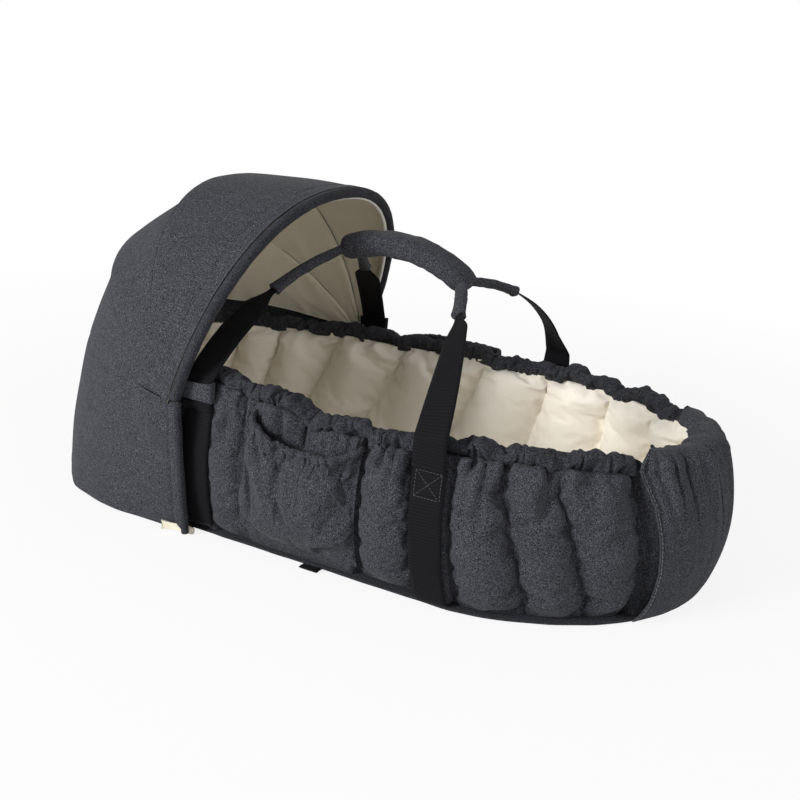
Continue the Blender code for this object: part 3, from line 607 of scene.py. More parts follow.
def settle(name, start, pinned, spare, shape):
    # Blender's cloth on a grid of points that starts at start. Each stitch of it is longer than it lies by spare,
    # and the sewn points stay, so the excess swells and folds between them. Returns the grid at rest.
    rows, columns = start.shape[:2]
    mesh = bpy.data.meshes.new(name)
    mesh.from_pydata(start.reshape(-1, 3).tolist(), [], gridFaces(rows, columns))
    mesh.update()
    cloth = addObject(name, mesh)
    sewn, trim = cloth.vertex_groups.new(name="sewn"), cloth.vertex_groups.new(name="trim")
    sewn.add(np.flatnonzero(pinned.ravel() > 0).tolist(), 1.0, "REPLACE")
    most = float(spare.max())
    steps = np.round((1 - spare.ravel() / most) * 20) / 20
    for weight in np.unique(steps[steps > 0]):
        trim.add(np.flatnonzero(steps == weight).tolist(), float(weight), "REPLACE")
    modifier = cloth.modifiers.new("cloth", "CLOTH")
    settings = modifier.settings
    settings.vertex_group_mass, settings.pin_stiffness = "sewn", 1.0
    settings.vertex_group_shrink, settings.shrink_min, settings.shrink_max = "trim", -most, 0.0
    settings.effector_weights.gravity = 0.0
    settings.quality, settings.mass = clothPhysics["quality"], clothPhysics["mass"]
    settings.air_damping = clothPhysics["air"]
    settings.tension_stiffness = settings.compression_stiffness = clothPhysics["stiffness"]
    settings.shear_stiffness = clothPhysics["stiffness"] * clothPhysics["shear"]
    settings.bending_stiffness = shape["bending"]
    settings.tension_damping = settings.compression_damping = 1.0
    settings.use_pressure = True
    settings.uniform_pressure_force = shape["pressure"]
    modifier.point_cache.frame_start, modifier.point_cache.frame_end = 1, shape["frames"]
    scene = bpy.context.scene
    for number in range(1, shape["frames"] + 1):
        scene.frame_set(number)
    settled = cloth.evaluated_get(bpy.context.evaluated_depsgraph_get())
    points = np.zeros(rows * columns * 3)
    settled.data.vertices.foreach_get("co", points)
    scene.frame_set(1)
    bpy.data.objects.remove(cloth)
    return points.reshape(rows, columns, 3)


def movedTo(start, found, reach):
    # The found grid, but no point of it further than reach from its start.
    move = found - start
    far = np.linalg.norm(move, axis=-1, keepdims=True)
    return start + move * np.minimum(1.0, reach / np.maximum(far, 1e-9))


def quiltGrid(seams, up, cell):
    # A grid whose columns follow the leaning seams, from the head's tip right round and back to it.
    ordered = sorted([(b, t) if t >= 0.5 else (b + 1, t + 1) for b, t in seams], key=lambda pair: pair[1])
    ordered.append((ordered[0][0] + 1, ordered[0][1] + 1))
    low, high, place = [], [], []
    for (b0, t0), (b1, t1) in zip(ordered, ordered[1:]):
        count = max(8, round((t1 - t0 + b1 - b0) / 2 * perimeter / cell))
        share = np.arange(count) / count
        share = share - quiltSet["crowding"] * np.sin(2 * math.pi * share)  # closer together beside the seams
        low.append(mix(b0, b1, share))
        high.append(mix(t0, t1, share))
        place.append(share)
    low, high, place = (np.concatenate([*part, [end]]) for part, end in
                        ((low, ordered[-1][0]), (high, ordered[-1][1]), (place, 0.0)))
    share = np.linspace(0, 1, up)
    s = mix(low[:, None], high[:, None], share[None])
    return s, np.broadcast_to(share, s.shape), np.broadcast_to(place[:, None], s.shape)


def fromCover(s, share):
    # How far outside the foot cover's edge a place of the wall is, as a part of the outline.
    return np.abs((s + 0.5) % 1 - 0.5) - np.interp(share, *zip(*coverSet["edge"]))


def heldFlat(s, share):
    # 1 where the outer wall is pressed flat: behind the straps and pockets, under the skirt and the foot cover.
    x = outlineAt(s)[0][..., 0]
    front = mix(*webbingSet["frontX"], share)
    rear = mix(*webbingSet["rearX"], share)
    straps = [smooth((heldSet["strap"] - np.abs(x - middle)) / heldSet["strapFade"]) for middle in (front, rear)]
    pocket = (smooth((x - pocketSet["x"][0]) / heldSet["pocketFade"])
              * smooth((pocketSet["x"][1] - x) / heldSet["pocketFade"])
              * smooth((heldSet["pocketTop"] - share) / 0.05))
    skirt = smooth((heldSet["skirtX"] - x) / 0.006)
    cover = smooth((0.001 - fromCover(s, share)) / 0.003)
    return np.maximum(np.maximum(np.maximum(*straps), skirt), np.maximum(pocket, cover) * 0.999)


def abovePocket(s, share):
    # 1 on the strip of wall above a pocket's mouth, where the pocket's elastic holds the filling down.
    x = outlineAt(s)[0][..., 0]
    return (smooth((x - pocketSet["x"][0] + 0.012) / 0.012) * smooth((pocketSet["x"][1] + 0.004 - x) / 0.012)
            * smooth((share - 0.70) / 0.1))


def quiltedFace(name, shape, seams, baseDepth, inward, seed):
    # The showing face of a quilted wall. Depths are measured in from the outer face of the wall.
    s, share, place = quiltGrid(seams, shape["up"], shape["cell"])
    sign = -1.0 if inward else 1.0
    drop, rise = (1 - share) * quiltSet["height"], share * quiltSet["height"]
    body = np.clip(1 - np.abs(2 * place - 1) ** quiltSet["roundness"], 0, 1) ** 0.5
    swell = mix(shape["top"], 1.0, smooth(drop / quiltSet["topFade"])) * mix(
        quiltSet["baseSwell"], 1.0, smooth(rise / quiltSet["baseFade"]))
    depth = baseDepth + mix(shape["seamDepth"], shape["crest"], body * swell)
    ruffle = creased(lumps(s * perimeter / quiltSet["ruffleWidth"], drop / 0.04, seed))
    down = s[:, -1:] * perimeter
    wander = 0.5 * lumps(down / 0.05, drop / 0.05, seed + 3)
    pleat = creased(lumps(down / quiltSet["pleatWidth"] + wander, drop / 0.08, seed + 1))
    folds = (shape["ruffle"] * ruffle * np.exp(-drop / quiltSet["ruffleDrop"])
             + shape["pleat"] * pleat * np.exp(-drop / quiltSet["pleatDrop"])
             + 0.0010 * lumps(s * perimeter / 0.034, share * 5, seed + 2))
    flat = np.zeros(s.shape) if inward else heldFlat(s, share)
    calm = np.zeros(s.shape) if inward else abovePocket(s, share)
    depth = mix(mix(depth, quiltSet["flatDepth"], flat * 0.9), quiltSet["calmDepth"], calm * 0.85)
    if not inward:
        depth = depth + quiltSet["creaseDepth"] * hump(fromCover(s, share), quiltSet["creaseWidth"])
    start = wallFace(s, share, depth - sign * folds * (0.3 + 0.7 * body) * (1 - flat))
    fromSeam = (1 - np.abs(2 * place - 1)) * 0.03
    spare = (shape["spare"] + shape["sewnSpare"] * np.exp(-fromSeam / quiltSet["seamReach"])
             + shape["gather"] * np.exp(-drop / quiltSet["gatherDrop"]))
    spare = spare * (1 - 0.9 * calm)
    pinned = np.zeros(s.shape)
    pinned[:, 0] = pinned[:, -1] = 1.0
    pinned[place == 0.0] = 1.0
    pinned[flat > 0.5] = 1.0
    order = slice(None, None, -1 if inward else 1)
    found = settle(name + "Cloth", start[order], pinned[order], spare[order], shape)[order]
    face = movedTo(start, found, shape["reach"])
    # The finest pleats, sewn in at the rim, are too sharp for the cloth's grid: they are pressed in on a finer one.
    s, drop, flat, face = (refined(refined(grid, 0), 1) for grid in (s, drop, flat, face))
    fine = creased(lumps(s * perimeter / 0.0085, drop / 0.09, seed + 4)) * np.exp(-drop / 0.012)
    long = creased(lumps(s * perimeter / 0.0125, drop / 0.16, seed + 5)) * np.exp(-drop / 0.036)
    return s, face + outwardOf(face) * (shape["crimp"] * (0.5 * fine + long) * (1 - flat))[..., None]


def quiltedWall(name, face, s, backDepth, material, replaced):
    # Closes the showing face with a plain back, as one ring without a gap at the head.
    shares = np.linspace(0, 1, 5)
    ends = s[:-1, [0, -1]]
    sBack = mix(ends[:, :1], ends[:, 1:], shares[None])
    back = wallFace(sBack, np.broadcast_to(shares, sBack.shape), backDepth)
    ring = np.concatenate([face[:-1], back[:, ::-1]], 1)
    piece = newPiece(name, ring, gridFaces(*ring.shape[:2], True, True), [material], "nest", replaced)


mattressSet = {"around": 260, "rings": 22, "bottom": 0.0078, "top": 0.0295, "crown": 0.004, "margin": 0.034,
               "edge": 0.93, "edgeRadius": 0.010}
middleOfBase = np.array([0.01, 0.0])


def makeOuterWall():
    s, face = quiltedFace("outerWall", outerWallSet, outerSeams, 0.0, False, 11)
    quiltedWall("outerWall", face, s, nest["wall"] + 0.003, melangeCloth,
                ("outer_wall_near", "outer_wall_far", "outer_wall_head", "outer_wall_foot"))


def makeLiner():
    s, face = quiltedFace("liner", linerSet, linerSeams, nest["wall"] + nest["liner"], True, 31)
    face[..., 2] = mix(mattressSet["bottom"], face[..., 2], smooth(np.linspace(0, 5, face.shape[1]) + 0.3))
    quiltedWall("liner", face, s, nest["wall"] + 0.0035, creamCotton,
                ("liner_near", "liner_far", "liner_head", "liner_foot"))


rimSet = {"rows": 1200, "sides": 16, "width": 0.0095, "height": 0.0064, "spare": 0.40, "pressure": 2.0,
          "bending": 0.02, "frames": 14, "waver": 0.0026, "pull": 0.0036, "pullWidth": 0.012, "drop": 0.0072,
          "skirt": 0.0185, "round": 1.2, "ripple": 0.10, "underCover": 0.30, "coverShare": 0.064, "reach": 0.008,
          "crimp": 0.0016}


def makeRim():
    # A casing gathered over elastic: its cloth starts too narrow and is too long for the rim, so it ruffles. It is
    # plainer under the foot cover.
    s = np.linspace(0, 1, rimSet["rows"])
    place, normal = outlineAt(s)
    waver = rimSet["waver"] * lumps(s * 46, 0, 51, 46)
    lift = rimSet["waver"] * lumps(s * 52, 0, 53, 52) + 0.0010 * lumps(s * 130, 0, 54, 130)
    covered = smooth((rimSet["coverShare"] - np.abs((s + 0.5) % 1 - 0.5)) / 0.006)
    tops = np.array(outerSeams)[:, 1]
    apart = np.abs((s[:, None] - tops[None] + 0.5) % 1 - 0.5).min(axis=1) * perimeter
    pull = hump(apart, rimSet["pullWidth"])  # each channel's seam draws the rim in and down
    waver, lift = waver - rimSet["pull"] * pull, lift - rimSet["pull"] * 0.8 * pull
    offset = wallOffset(place[:, 0], 1.0) - nest["wall"] + waver * (1 - covered)
    centre = np.concatenate([place + normal * offset[:, None],
                             (rimTop(place[:, 0], place[:, 1]) - rimSet["drop"] + lift
                              - 0.004 * covered)[:, None]], -1)
    angle = np.linspace(-rimSet["round"], math.pi + rimSet["round"], rimSet["sides"])
    sGrid, angleGrid = np.meshgrid(s, angle, indexing="ij")
    radius = (1 + rimSet["ripple"] * lumps(sGrid * 420, angleGrid * 0.5, 56, 420)
              + rimSet["ripple"] * lumps(sGrid * 190, angleGrid * 0.8, 57, 190)) * (
        1 - rimSet["underCover"] * covered[:, None])
    wide = np.cos(angleGrid) * rimSet["width"] * radius
    high = np.sin(angleGrid) * rimSet["height"] * radius
    ring = centre[:, None] + np.concatenate([normal[:, None] * wide[..., None], high[..., None]], -1)
    ring[:, [0, -1], :2] = mix(ring[:, [0, -1], :2], centre[:, None, :2], 0.6)
    ring[:, [0, -1], 2] = (rimTop(place[:, 0], place[:, 1]) - rimSet["skirt"])[:, None]
    pinned = np.zeros(sGrid.shape)
    pinned[0] = pinned[-1] = pinned[:, 0] = pinned[:, -1] = 1.0
    spare = rimSet["spare"] * (1 - 0.8 * covered[:, None]) + 0 * sGrid
    found = settle("rimCloth", ring[:, ::-1], pinned, spare, rimSet)[:, ::-1]
    ring = movedTo(ring, found, rimSet["reach"])
    crimp = (creased(lumps(sGrid * 230, angleGrid * 0.25, 58, 230))
             + creased(lumps(sGrid * 126, angleGrid * 0.35, 59, 126)))
    crimp = crimp * rimSet["crimp"] * (1 - 0.6 * covered[:, None])
    crimp[:, [0, -1]] = 0
    ring = ring + unit(ring - centre[:, None]) * crimp[..., None]
    piece = newPiece("rimCasing", ring[:-1], gridFaces(rimSet["rows"] - 1, rimSet["sides"], True, True),
                     [gatheredClothPaintedShade], "nest", ("rim_casing", "rim_elastic"))
    rounding = piece.modifiers.new("rounding", "SUBSURF")
    rounding.levels = rounding.render_levels = 1


def makeMattress():
    around, rings = mattressSet["around"], mattressSet["rings"]
    s = np.arange(around) / around
    edge = wallFace(s, 0.15, mattressSet["margin"])[:, :2]
    points = []
    for share in np.linspace(1, 0.02, rings):
        flat = edge * share + middleOfBase * (1 - share)
        crown = mattressSet["crown"] * (1 - share ** 2) + 0.0015 * lumps(flat[:, 0] / 0.05, flat[:, 1] / 0.05 + 9, 61)
        pastEdge = max(0.0, (share - mattressSet["edge"]) / (1 - mattressSet["edge"]))
        roll = mattressSet["edgeRadius"] * (1 - math.sqrt(max(0.0, 1 - pastEdge ** 2)))
        points.append(np.concatenate([flat, (mattressSet["top"] + crown - roll)[:, None]], -1))
    points = np.stack(points, 0)
    under = points[0].copy()
    under[:, 2] = mattressSet["bottom"]
    points = np.concatenate([under[None], points], 0)
    piece = newPiece("mattressPad", points, tubeFaces(rings + 1, around), [creamCotton], "nest",
                     ("mattress",))


# Pockets, foot cover and the flat base

def pocketGrid(sign):
    u, v = unitGrid(pocketSet["columns"], pocketSet["rows"])
    x = mix(mix(-0.052, -0.034, v), pocketSet["x"][1], u)
    mouth = pocketSet["tops"][sign]
    top = mix(*mouth["ends"], u) + mouth["sag"] * np.sin(math.pi * u) ** mouth["power"]
    z = mix(pocketSet["bottom"], top, v)
    edge = np.minimum(u, 1 - u) * (pocketSet["x"][1] - pocketSet["x"][0])
    lying = besideWall(x, z, sign, -0.0085)
    side = np.clip(edge / pocketSet["sideRise"], 0, 1)
    arch = np.sqrt(1 - (1 - side) ** 2.2)
    hang = nest["halfWidth"] + nest["bulge"] - 0.004 + 0.006 * smooth((v - 0.35) / 0.5)
    out = mix(lying, np.maximum(lying, hang), arch * smooth(v / 0.30)) + pocketSet["belly"] * arch * (
        smooth(v * 4) * (0.75 + 0.25 * v)) * 0.75
    if sign < 0:
        out = lying + (out - lying) * (1 - pocketSet["nearMouthCalm"] * smooth((v - 0.7) / 0.3))
    drop = (1 - v) * (top - pocketSet["bottom"])
    seed = pocketSet["seeds"][sign]
    fine = creased(lumps(u * 21 + 0.4 * lumps(u * 9, drop / 0.02, seed + 3), drop / 0.035, seed))
    middle = lumps(u * 11 + drop * 12, drop / 0.05, seed + 1)
    crease = 1 - np.abs(lumps(u * 4.2 - drop * 14, drop / 0.09 + 0.4, seed + 2))
    out = out + 0.0034 * fine * np.exp(-drop / 0.015) * arch + 0.0034 * middle * np.exp(-drop / 0.040) * arch
    out = out - pocketSet["crease"] * smooth((crease - 0.72) / 0.28) * arch * smooth(drop / 0.02) * smooth(v / 0.15)
    return np.stack([x, sign * out, z], -1), arch


def makePocket(name, sign):
    face, arch = pocketGrid(sign)
    face = face if sign < 0 else face[::-1]
    drop = np.broadcast_to(np.linspace(1, 0, pocketSet["rows"]) * 0.115, arch.shape)
    spare = pocketSet["spare"] + pocketSet["gather"] * np.exp(-drop / 0.022)
    pinned = np.zeros(arch.shape)
    pinned[0] = pinned[-1] = pinned[:, 0] = pinned[:, -1] = 1.0
    found = settle(name + "PocketCloth", face, pinned, spare, pocketSet)
    share = (found[..., 2] - nest["floor"]) / 0.15
    lying = nest["halfWidth"] + wallOffset(found[..., 0], np.clip(share, 0, 1)) - 0.0040
    inner = np.minimum(np.abs(face[..., 1]), lying)
    found[..., 1] = sign * np.clip(np.abs(found[..., 1]), inner, lying + pocketSet["reach"])
    u = np.linspace(0, 40, len(face))[:, None]
    gathers = creased(lumps(u * 0.45, drop / 0.05, 74)) + 0.6 * creased(lumps(u, drop / 0.03, 75))
    gathers = gathers * arch * np.exp(-drop / 0.016) * pocketSet["crimp"]
    face = found + np.stack([0 * gathers, sign * gathers, 0 * gathers], -1)
    piece = shell(name + "Pocket", face, pocketSet["thickness"], [melangeCloth], "nest",
                  (name + "_pocket",))
    top = face[:, -1]
    path = top + np.array([0, -sign * 0.0005, 0.0004])
    ridge = 1 + 0.30 * creased(lumps(np.linspace(0, 34, len(path))[:, None], np.linspace(0, 1, 10)[None], 77))
    hem = tube(name + "PocketElastic", path, pocketSet["hemRadius"], [melangeCloth], "nest",
               (name + "_pocket_elastic",), 10, bumps=ridge)


def makeFootCover():
    u, v = np.meshgrid(np.linspace(-1, 1, coverSet["columns"]), np.linspace(0, 1, coverSet["rows"]), indexing="ij")
    reach = v * (1 + coverSet["turnIn"])  # past 1 the cloth rolls in over the rim
    half = np.interp(np.minimum(reach, 1.0), *zip(*coverSet["edge"]))
    over = np.clip((reach - 1.0) / coverSet["turnIn"], 0, 1)
    half = half * (1 - coverSet["narrowing"] * over ** 2)
    s = u * half
    share = np.clip(reach, 0, 1)
    drop = (1.0 - share) * quiltSet["height"]
    edge = (1 - np.abs(u)) * half * perimeter
    long = lumps(u * 5.2 + drop * 3, drop / 0.14, 91)
    pleat = 1 - np.abs(lumps(u * 8.5 + 0.7, drop / 0.12, 92))
    folds = coverSet["fold"] * (long * np.exp(-drop / 0.060) + smooth((pleat - 0.55) / 0.45) * np.exp(-drop / 0.05))
    folds = folds * (1 - 0.6 * smooth(over))
    stand = coverSet["standOff"] + 0.0030 * np.exp(-edge / 0.03) * smooth(drop / 0.03)
    face = wallFace(s, share, -(stand - folds) + 0.0035 * np.exp(-v / 0.05), coverSet["casing"])
    normal = outlineAt(s)[1]
    angle = over * math.radians(coverSet["rollDegrees"]) * mix(0.50, 1.0, smooth(edge / 0.030))
    roll = coverSet["roll"] * (1 + 0.10 * lumps(u * 7, 0.5, 94))
    turn = np.concatenate([-normal * (roll * (1 - np.cos(angle)) * 1.12)[..., None],
                           (roll * 0.80 * np.sin(angle))[..., None]], -1)
    face = face + turn
    piece = shell("footCover", face, coverSet["thickness"], [melangeCloth], "nest",
                  ("foot_cover",))
    rows = [face[4, :-3], face[-5, :-3]]
    centre = np.array([0.18, 0, 0.08])
    lines = [row + unit(row - centre) * 0.0002 for row in rows]
    stitches("footCoverStitches", lines, greyThread)


baseSet = {"around": 720, "reach": 0.0006, "profile": (
    (0.02, 0.0), (0.5, 0.0), (0.9, 0.0), (0.994, 0.0001), (0.9985, 0.0006), (1.0, 0.0012), (0.9985, 0.0018),
    (0.994, 0.0023), (0.9, 0.0024), (0.5, 0.0024), (0.02, 0.0024))}  # share of the outline, height


def makeBase():
    around = baseSet["around"]
    s = np.arange(around) / around
    place, normal = outlineAt(s)
    rim = 0.0006 * lumps(s * 90, 0, 101, 90)
    edge = place + normal * (baseSet["reach"] + rim)[:, None]
    loops = []
    for share, height in baseSet["profile"]:
        flat = edge * share + middleOfBase * (1 - share)
        loops.append(np.concatenate([flat, np.full((around, 1), height)], -1))
    newPiece("baseCover", np.stack(loops), tubeFaces(len(loops), around), [gatheredClothPaintedShade], "nest",
             ("base_cover",))
    low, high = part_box("base_tab")
    x = (low.x + high.x) / 2
    path = [(x, low.y + 0.0005 + k * 0.0022, 0.0012 + 0.0004 * math.sin(k)) for k in range(6)]
    strap("baseTab", path, (1, 0, 0), high.x - low.x, 0.0012, [blackWebbing], "nest",
          ("base_tab",))


makeOuterWall()
makeLiner()
makeRim()
makeMattress()
for sideName, sideSign in (("near", -1), ("far", 1)):
    makePocket(sideName, sideSign)
makeFootCover()
makeBase()
print("nest made")

# Hood: three telescoping panels round one side-to-side axis, a hemmed front bow, and a skirt down to the base

hoodSet = {
    "pivot": (-0.125, 0.0, 0.145), "power": 2.3, "steps": 220, "across": 44, "cloth": 0.0012, "lining": 0.0006,
    "panels": {  # degrees, radius and half width at the rear and front edge, share of the straight chord, flat size
        "front": {"angles": (-17.0, 20.0), "radii": (0.2276, 0.2300), "widths": (0.2050, 0.2050), "straight": 0.80,
                  "flat": (0.58, 0.150), "body": "hood_front", "bow": ()},
        "mid": {"angles": (-48.0, -13.5), "radii": (0.2228, 0.2232), "widths": (0.2012, 0.2012), "straight": 0.75,
                "flat": (0.57, 0.130), "body": "hood_mid", "bow": ("hood_mid_bow",)},
        "rear": {"angles": (-80.0, -44.5), "radii": (0.2200, 0.2192), "widths": (0.1974, 0.1974), "straight": 0.70,
                 "flat": (0.56, 0.130), "body": "nest", "bow": ("hood_rear_bow",)},
    },
    "goreShare": 0.72, "sag": (0.0008, 0.0004), "layerGap": 0.0004, "liningCrease": 0.0012, "turned": 0.0016,
    "hemRadius": 0.0058, "hemBand": 0.017, "hemIn": 0.0045, "hemForward": 0.0050, "hemFrom": 0.012,
}


def ribPoint(angle, radius, halfWidth, b):
    power = 2 / hoodSet["power"]
    reach = np.maximum(radius * np.sin(b) ** power, 0.0035)
    y = -np.sign(np.cos(b)) * halfWidth * np.abs(np.cos(b)) ** power
    x0, _, z0 = hoodSet["pivot"]
    return np.stack([x0 + reach * np.sin(angle), y, z0 + reach * np.cos(angle)], -1)


def bowSteps(count):
    # Even steps along the bow from the near pivot to the far one.
    b = np.linspace(0, math.pi, 3000)
    reach = reachOf(ribPoint(0.0, 0.23, 0.205, b))
    return np.interp(np.linspace(0, reach[-1], count), reach, b)


def fromPivot(points):
    # How far each point is from the hood's axis.
    return np.linalg.norm((points - np.array(hoodSet["pivot"]))[..., [0, 2]], axis=-1)


def panelFace(shape, inset, seed):
    b, t = np.meshgrid(bowSteps(hoodSet["steps"]), np.linspace(0, 1, hoodSet["across"]), indexing="ij")
    low, high = (math.radians(a) for a in shape["angles"])
    edges = [ribPoint(a, r - inset, w - inset, b) for a, r, w in zip((low, high), shape["radii"], shape["widths"])]
    chord = mix(edges[0], edges[1], t[..., None])
    arc = ribPoint(mix(low, high, t), mix(*shape["radii"], t) - inset, mix(*shape["widths"], t) - inset, b)
    face = mix(arc, chord, shape["straight"] * smooth(np.sin(b) * 2.2)[..., None])
    outward = unit((face - np.array(hoodSet["pivot"])) * np.array([1, 0.55, 1]))
    calm = smooth(fromPivot(face) / 0.05)  # nothing swells or creases where the gores come together
    sag = hoodSet["sag"][0] * lumps(b * 3.1, t * 2.2 + 3, seed) + hoodSet["sag"][1] * lumps(b * 8, t * 3.3, seed + 1)
    return face + outward * (sag * calm)[..., None], b, t, outward, calm


def makeHoodPanels():
    for number, (name, shape) in enumerate(hoodSet["panels"].items()):
        face, b, t, outward, calm = panelFace(shape, 0.0, 110 + number)
        span = math.radians(shape["angles"][1] - shape["angles"][0]) * fromPivot(face)
        fromFront, fromRear = (1 - t) * span, t * span
        press = -0.0011 * hump(fromRear, 0.004)
        if name == "front":  # the stitched channel of the hem
            press = press - 0.0013 * hump(fromFront - hoodSet["hemBand"], 0.0016)
            press = press + 0.0008 * smooth((hoodSet["hemBand"] - fromFront) / 0.003)
        face = face + outward * (press * calm)[..., None]
        piece = shell("hood" + name.title() + "Panel", face, hoodSet["cloth"], [melangeCloth], shape["body"],
                      (f"hood_{name}_panel",))
        inner, b, t, outward, calm = panelFace(shape, hoodSet["cloth"] + hoodSet["layerGap"], 110 + number)
        crease = 1 - np.abs(lumps(b * 5.5 + t * 1.6, t * 1.6, 131 + number))
        curl = -hoodSet["liningCrease"] * smooth((crease - 0.45) / 0.55) * calm
        if name != "front":  # the lining is turned out over the cloth's front edge
            curl = curl + hoodSet["turned"] * smooth(1 - fromFront / 0.0035) * smooth(span / 0.012)
        inner = inner + outward * curl[..., None]
        lining = shell("hood" + name.title() + "Lining", inner, hoodSet["lining"], [hoodLiningCloth],
                       shape["body"], (f"hood_{name}_lining", *shape["bow"]))


def makeHoodHem():
    shape = hoodSet["panels"]["front"]
    angle = math.radians(shape["angles"][1])
    b = bowSteps(420)
    forward = np.array([math.cos(angle), 0, -math.sin(angle)])
    path = ribPoint(angle, shape["radii"][1] - hoodSet["hemIn"], shape["widths"][1] - hoodSet["hemIn"], b)
    path = path + forward * hoodSet["hemForward"]
    path = path[fromPivot(path) > hoodSet["hemFrom"]]
    angleRound = anglesRound(18)
    ripple = 1 + 0.035 * lumps(np.linspace(0, 70, len(path))[:, None], angleRound[None] * 0.9, 141)
    hem = tube("hoodFrontHem", path, hoodSet["hemRadius"], [gatheredClothPaintedShade], "hood_front",
               ("hood_front_hem", "hood_front_bow"), 18, bumps=ripple)
    inward = unit(np.array(hoodSet["pivot"]) + forward * 0.02 - path)
    tube("hoodFrontPiping", path + inward * 0.0062 - forward * 0.0022, 0.0024, [whitePiping], "hood_front",
         (), 10)


skirtSet = {"columns": 460, "rows": 46, "frontX": -0.112, "hemHalfWidth": 0.193, "hemHeadX": -0.392, "hemZ": 0.003,
            "outside": (0.0012, 0.0016), "frontHalfWidth": 0.2036, "frontRise": 0.0055, "thickness": 0.0014,
            "swell": 0.0035, "waves": (0.0020, 0.0011), "fold": 0.0014, "tuck": (0.0010, 0.0022), "band": 0.0150}


def skirtEdges():
    # The seam under the hood's rear panel and the hem on the base, each with its two straight front ends.
    rear = hoodSet["panels"]["rear"]
    b = np.linspace(0.0, math.pi, 400)
    angle = math.radians(rear["angles"][0])
    radius, halfWidth = rear["radii"][0] + skirtSet["outside"][0], rear["widths"][0] + skirtSet["outside"][1]
    seam = ribPoint(angle, radius, halfWidth, b)
    reach = fromPivot(seam)
    seam[:, 1] *= mix(skirtSet["frontHalfWidth"] / halfWidth, 1.0, smooth((reach - 0.02) / 0.05))
    seam[:, 2] += skirtSet["frontRise"] * (1 - smooth((reach - 0.06) / 0.12))
    hemEnd = skirtSet["hemHeadX"] + nest["endLength"]
    hem = np.stack([hemEnd - nest["endLength"] * np.sin(b) ** (2 / nest["headPower"]),
                    -skirtSet["hemHalfWidth"] * np.cos(b), np.full_like(b, skirtSet["hemZ"])], -1)
    edges = []
    for curve in (seam, hem):
        ends = [np.array([skirtSet["frontX"], side * abs(curve[0, 1]), curve[0, 2]]) for side in (-1, 1)]
        edges.append(evenly(np.vstack([ends[0], curve, ends[1]]), skirtSet["columns"]))
    return edges


skirtFlat = (0.95, 0.145)


def makeSkirt():
    seam, hem = skirtEdges()
    v = np.linspace(0, 1, skirtSet["rows"])[None, :, None]
    u = np.linspace(0, 1, skirtSet["columns"])[:, None]
    face = mix(hem[:, None], seam[:, None], v)
    centre = np.array([-0.20, 0.0, 0.0])
    away = unit((face - centre) * np.array([1, 1, 0]))
    rows = v[..., 0]
    swell = skirtSet["swell"] * np.sin(math.pi * rows) ** 0.8
    long, short = skirtSet["waves"]
    wave = long * lumps(u * 13, rows * 1.3, 151) * (1 - rows) + short * lumps(u * 26, rows * 2.5, 152)
    hemRoll = -skirtSet["fold"] * hump(rows - 0.075, 0.012)
    wide, sharp = skirtSet["tuck"]
    tuck = -wide * hump(1 - rows, 0.035) - sharp * smooth((rows - 0.965) / 0.035)
    inside = skirtSet["band"] - np.minimum(u, 1 - u) * skirtFlat[0]
    band = -skirtSet["fold"] * hump(inside, 0.0016) + 0.0010 * smooth(inside / 0.004)
    face = face + away * (swell + wave + hemRoll + tuck + band)[..., None]
    piece = shell("hoodSkirt", face, skirtSet["thickness"], [melangeCloth], "nest",
                  ("hood_skirt",))
    for name, column in (("near", 0), ("far", -1)):
        edge = face[column] + np.array([0.0015, 0, 0])
        tube(name + "SkirtBinding", evenly(edge, 60), 0.0042, [gatheredClothPaintedShade], "nest", (), 14,
             bumps=1 + 0.06 * lumps(np.linspace(0, 9, 60)[:, None], np.linspace(0, 4, 14)[None], 161 + column))
        low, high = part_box(name + "_skirt_tie")
        path = [((low.x + high.x) / 2, mix(low.y, high.y, k + 0.5), 0.0017 + 0.0003 * math.cos(4 * k))
                for k in np.linspace(-0.5, 0.5, 7)]
        strap(name + "SkirtTie", path, (1, 0, 0), high.x - low.x, 0.0012, [blackElastic], "nest",
              (name + "_skirt_tie",))
        makeButton(name)


facingSet = {"corner": (-0.137, -0.2005, 0.0014), "length": 0.034, "slant": 0.013, "height": 0.012, "wave": 0.0030}


def makeSkirtFacing():
    # The skirt's cream facing, turned under at the near front corner, where a little of it shows.
    u, v = unitGrid(26, 14)
    x = facingSet["corner"][0] + facingSet["length"] * u
    y = facingSet["corner"][1] + facingSet["slant"] * u + facingSet["wave"] * np.sin(6 * u + 2 * v) * (1 - v)
    z = facingSet["corner"][2] + facingSet["height"] * v * (1 - 0.5 * u) + 0.0010 * lumps(u * 4, v * 2, 191)
    piece = shell("nearSkirtFacing", np.stack([x, y, z], -1), 0.0010, [hoodLiningCloth], "nest")


buttonSet = {"sides": 28, "inside": 0.2, "profile": (  # radius, share of the length
    (0.0006, 0.0), (0.0026, 0.0), (0.0034, 0.08), (0.0035, 0.5), (0.0034, 0.92), (0.0026, 1.0), (0.0006, 1.0))}


def makeButton(name):
    # The joint button under the cloth, a moulded disc with a rounded rim.
    low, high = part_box(name + "_hood_pivot")
    x, z = hoodSet["pivot"][0], hoodSet["pivot"][2]
    angle = anglesRound(buttonSet["sides"])
    near, far = max(low.y, -buttonSet["inside"]), min(high.y, buttonSet["inside"])
    rings = [np.stack([x + r * np.cos(angle), np.full_like(angle, mix(near, far, share)),
                       z + r * np.sin(angle)], -1) for r, share in buttonSet["profile"]]
    newPiece(name + "HoodButton", np.stack(rings), tubeFaces(len(rings), len(angle)), [mouldedAcetal], "nest",
             (name + "_hood_pivot",))


makeHoodPanels()
makeHoodHem()
makeSkirt()
makeSkirtFacing()
print("hood made")

# Webbing, handles and the grip

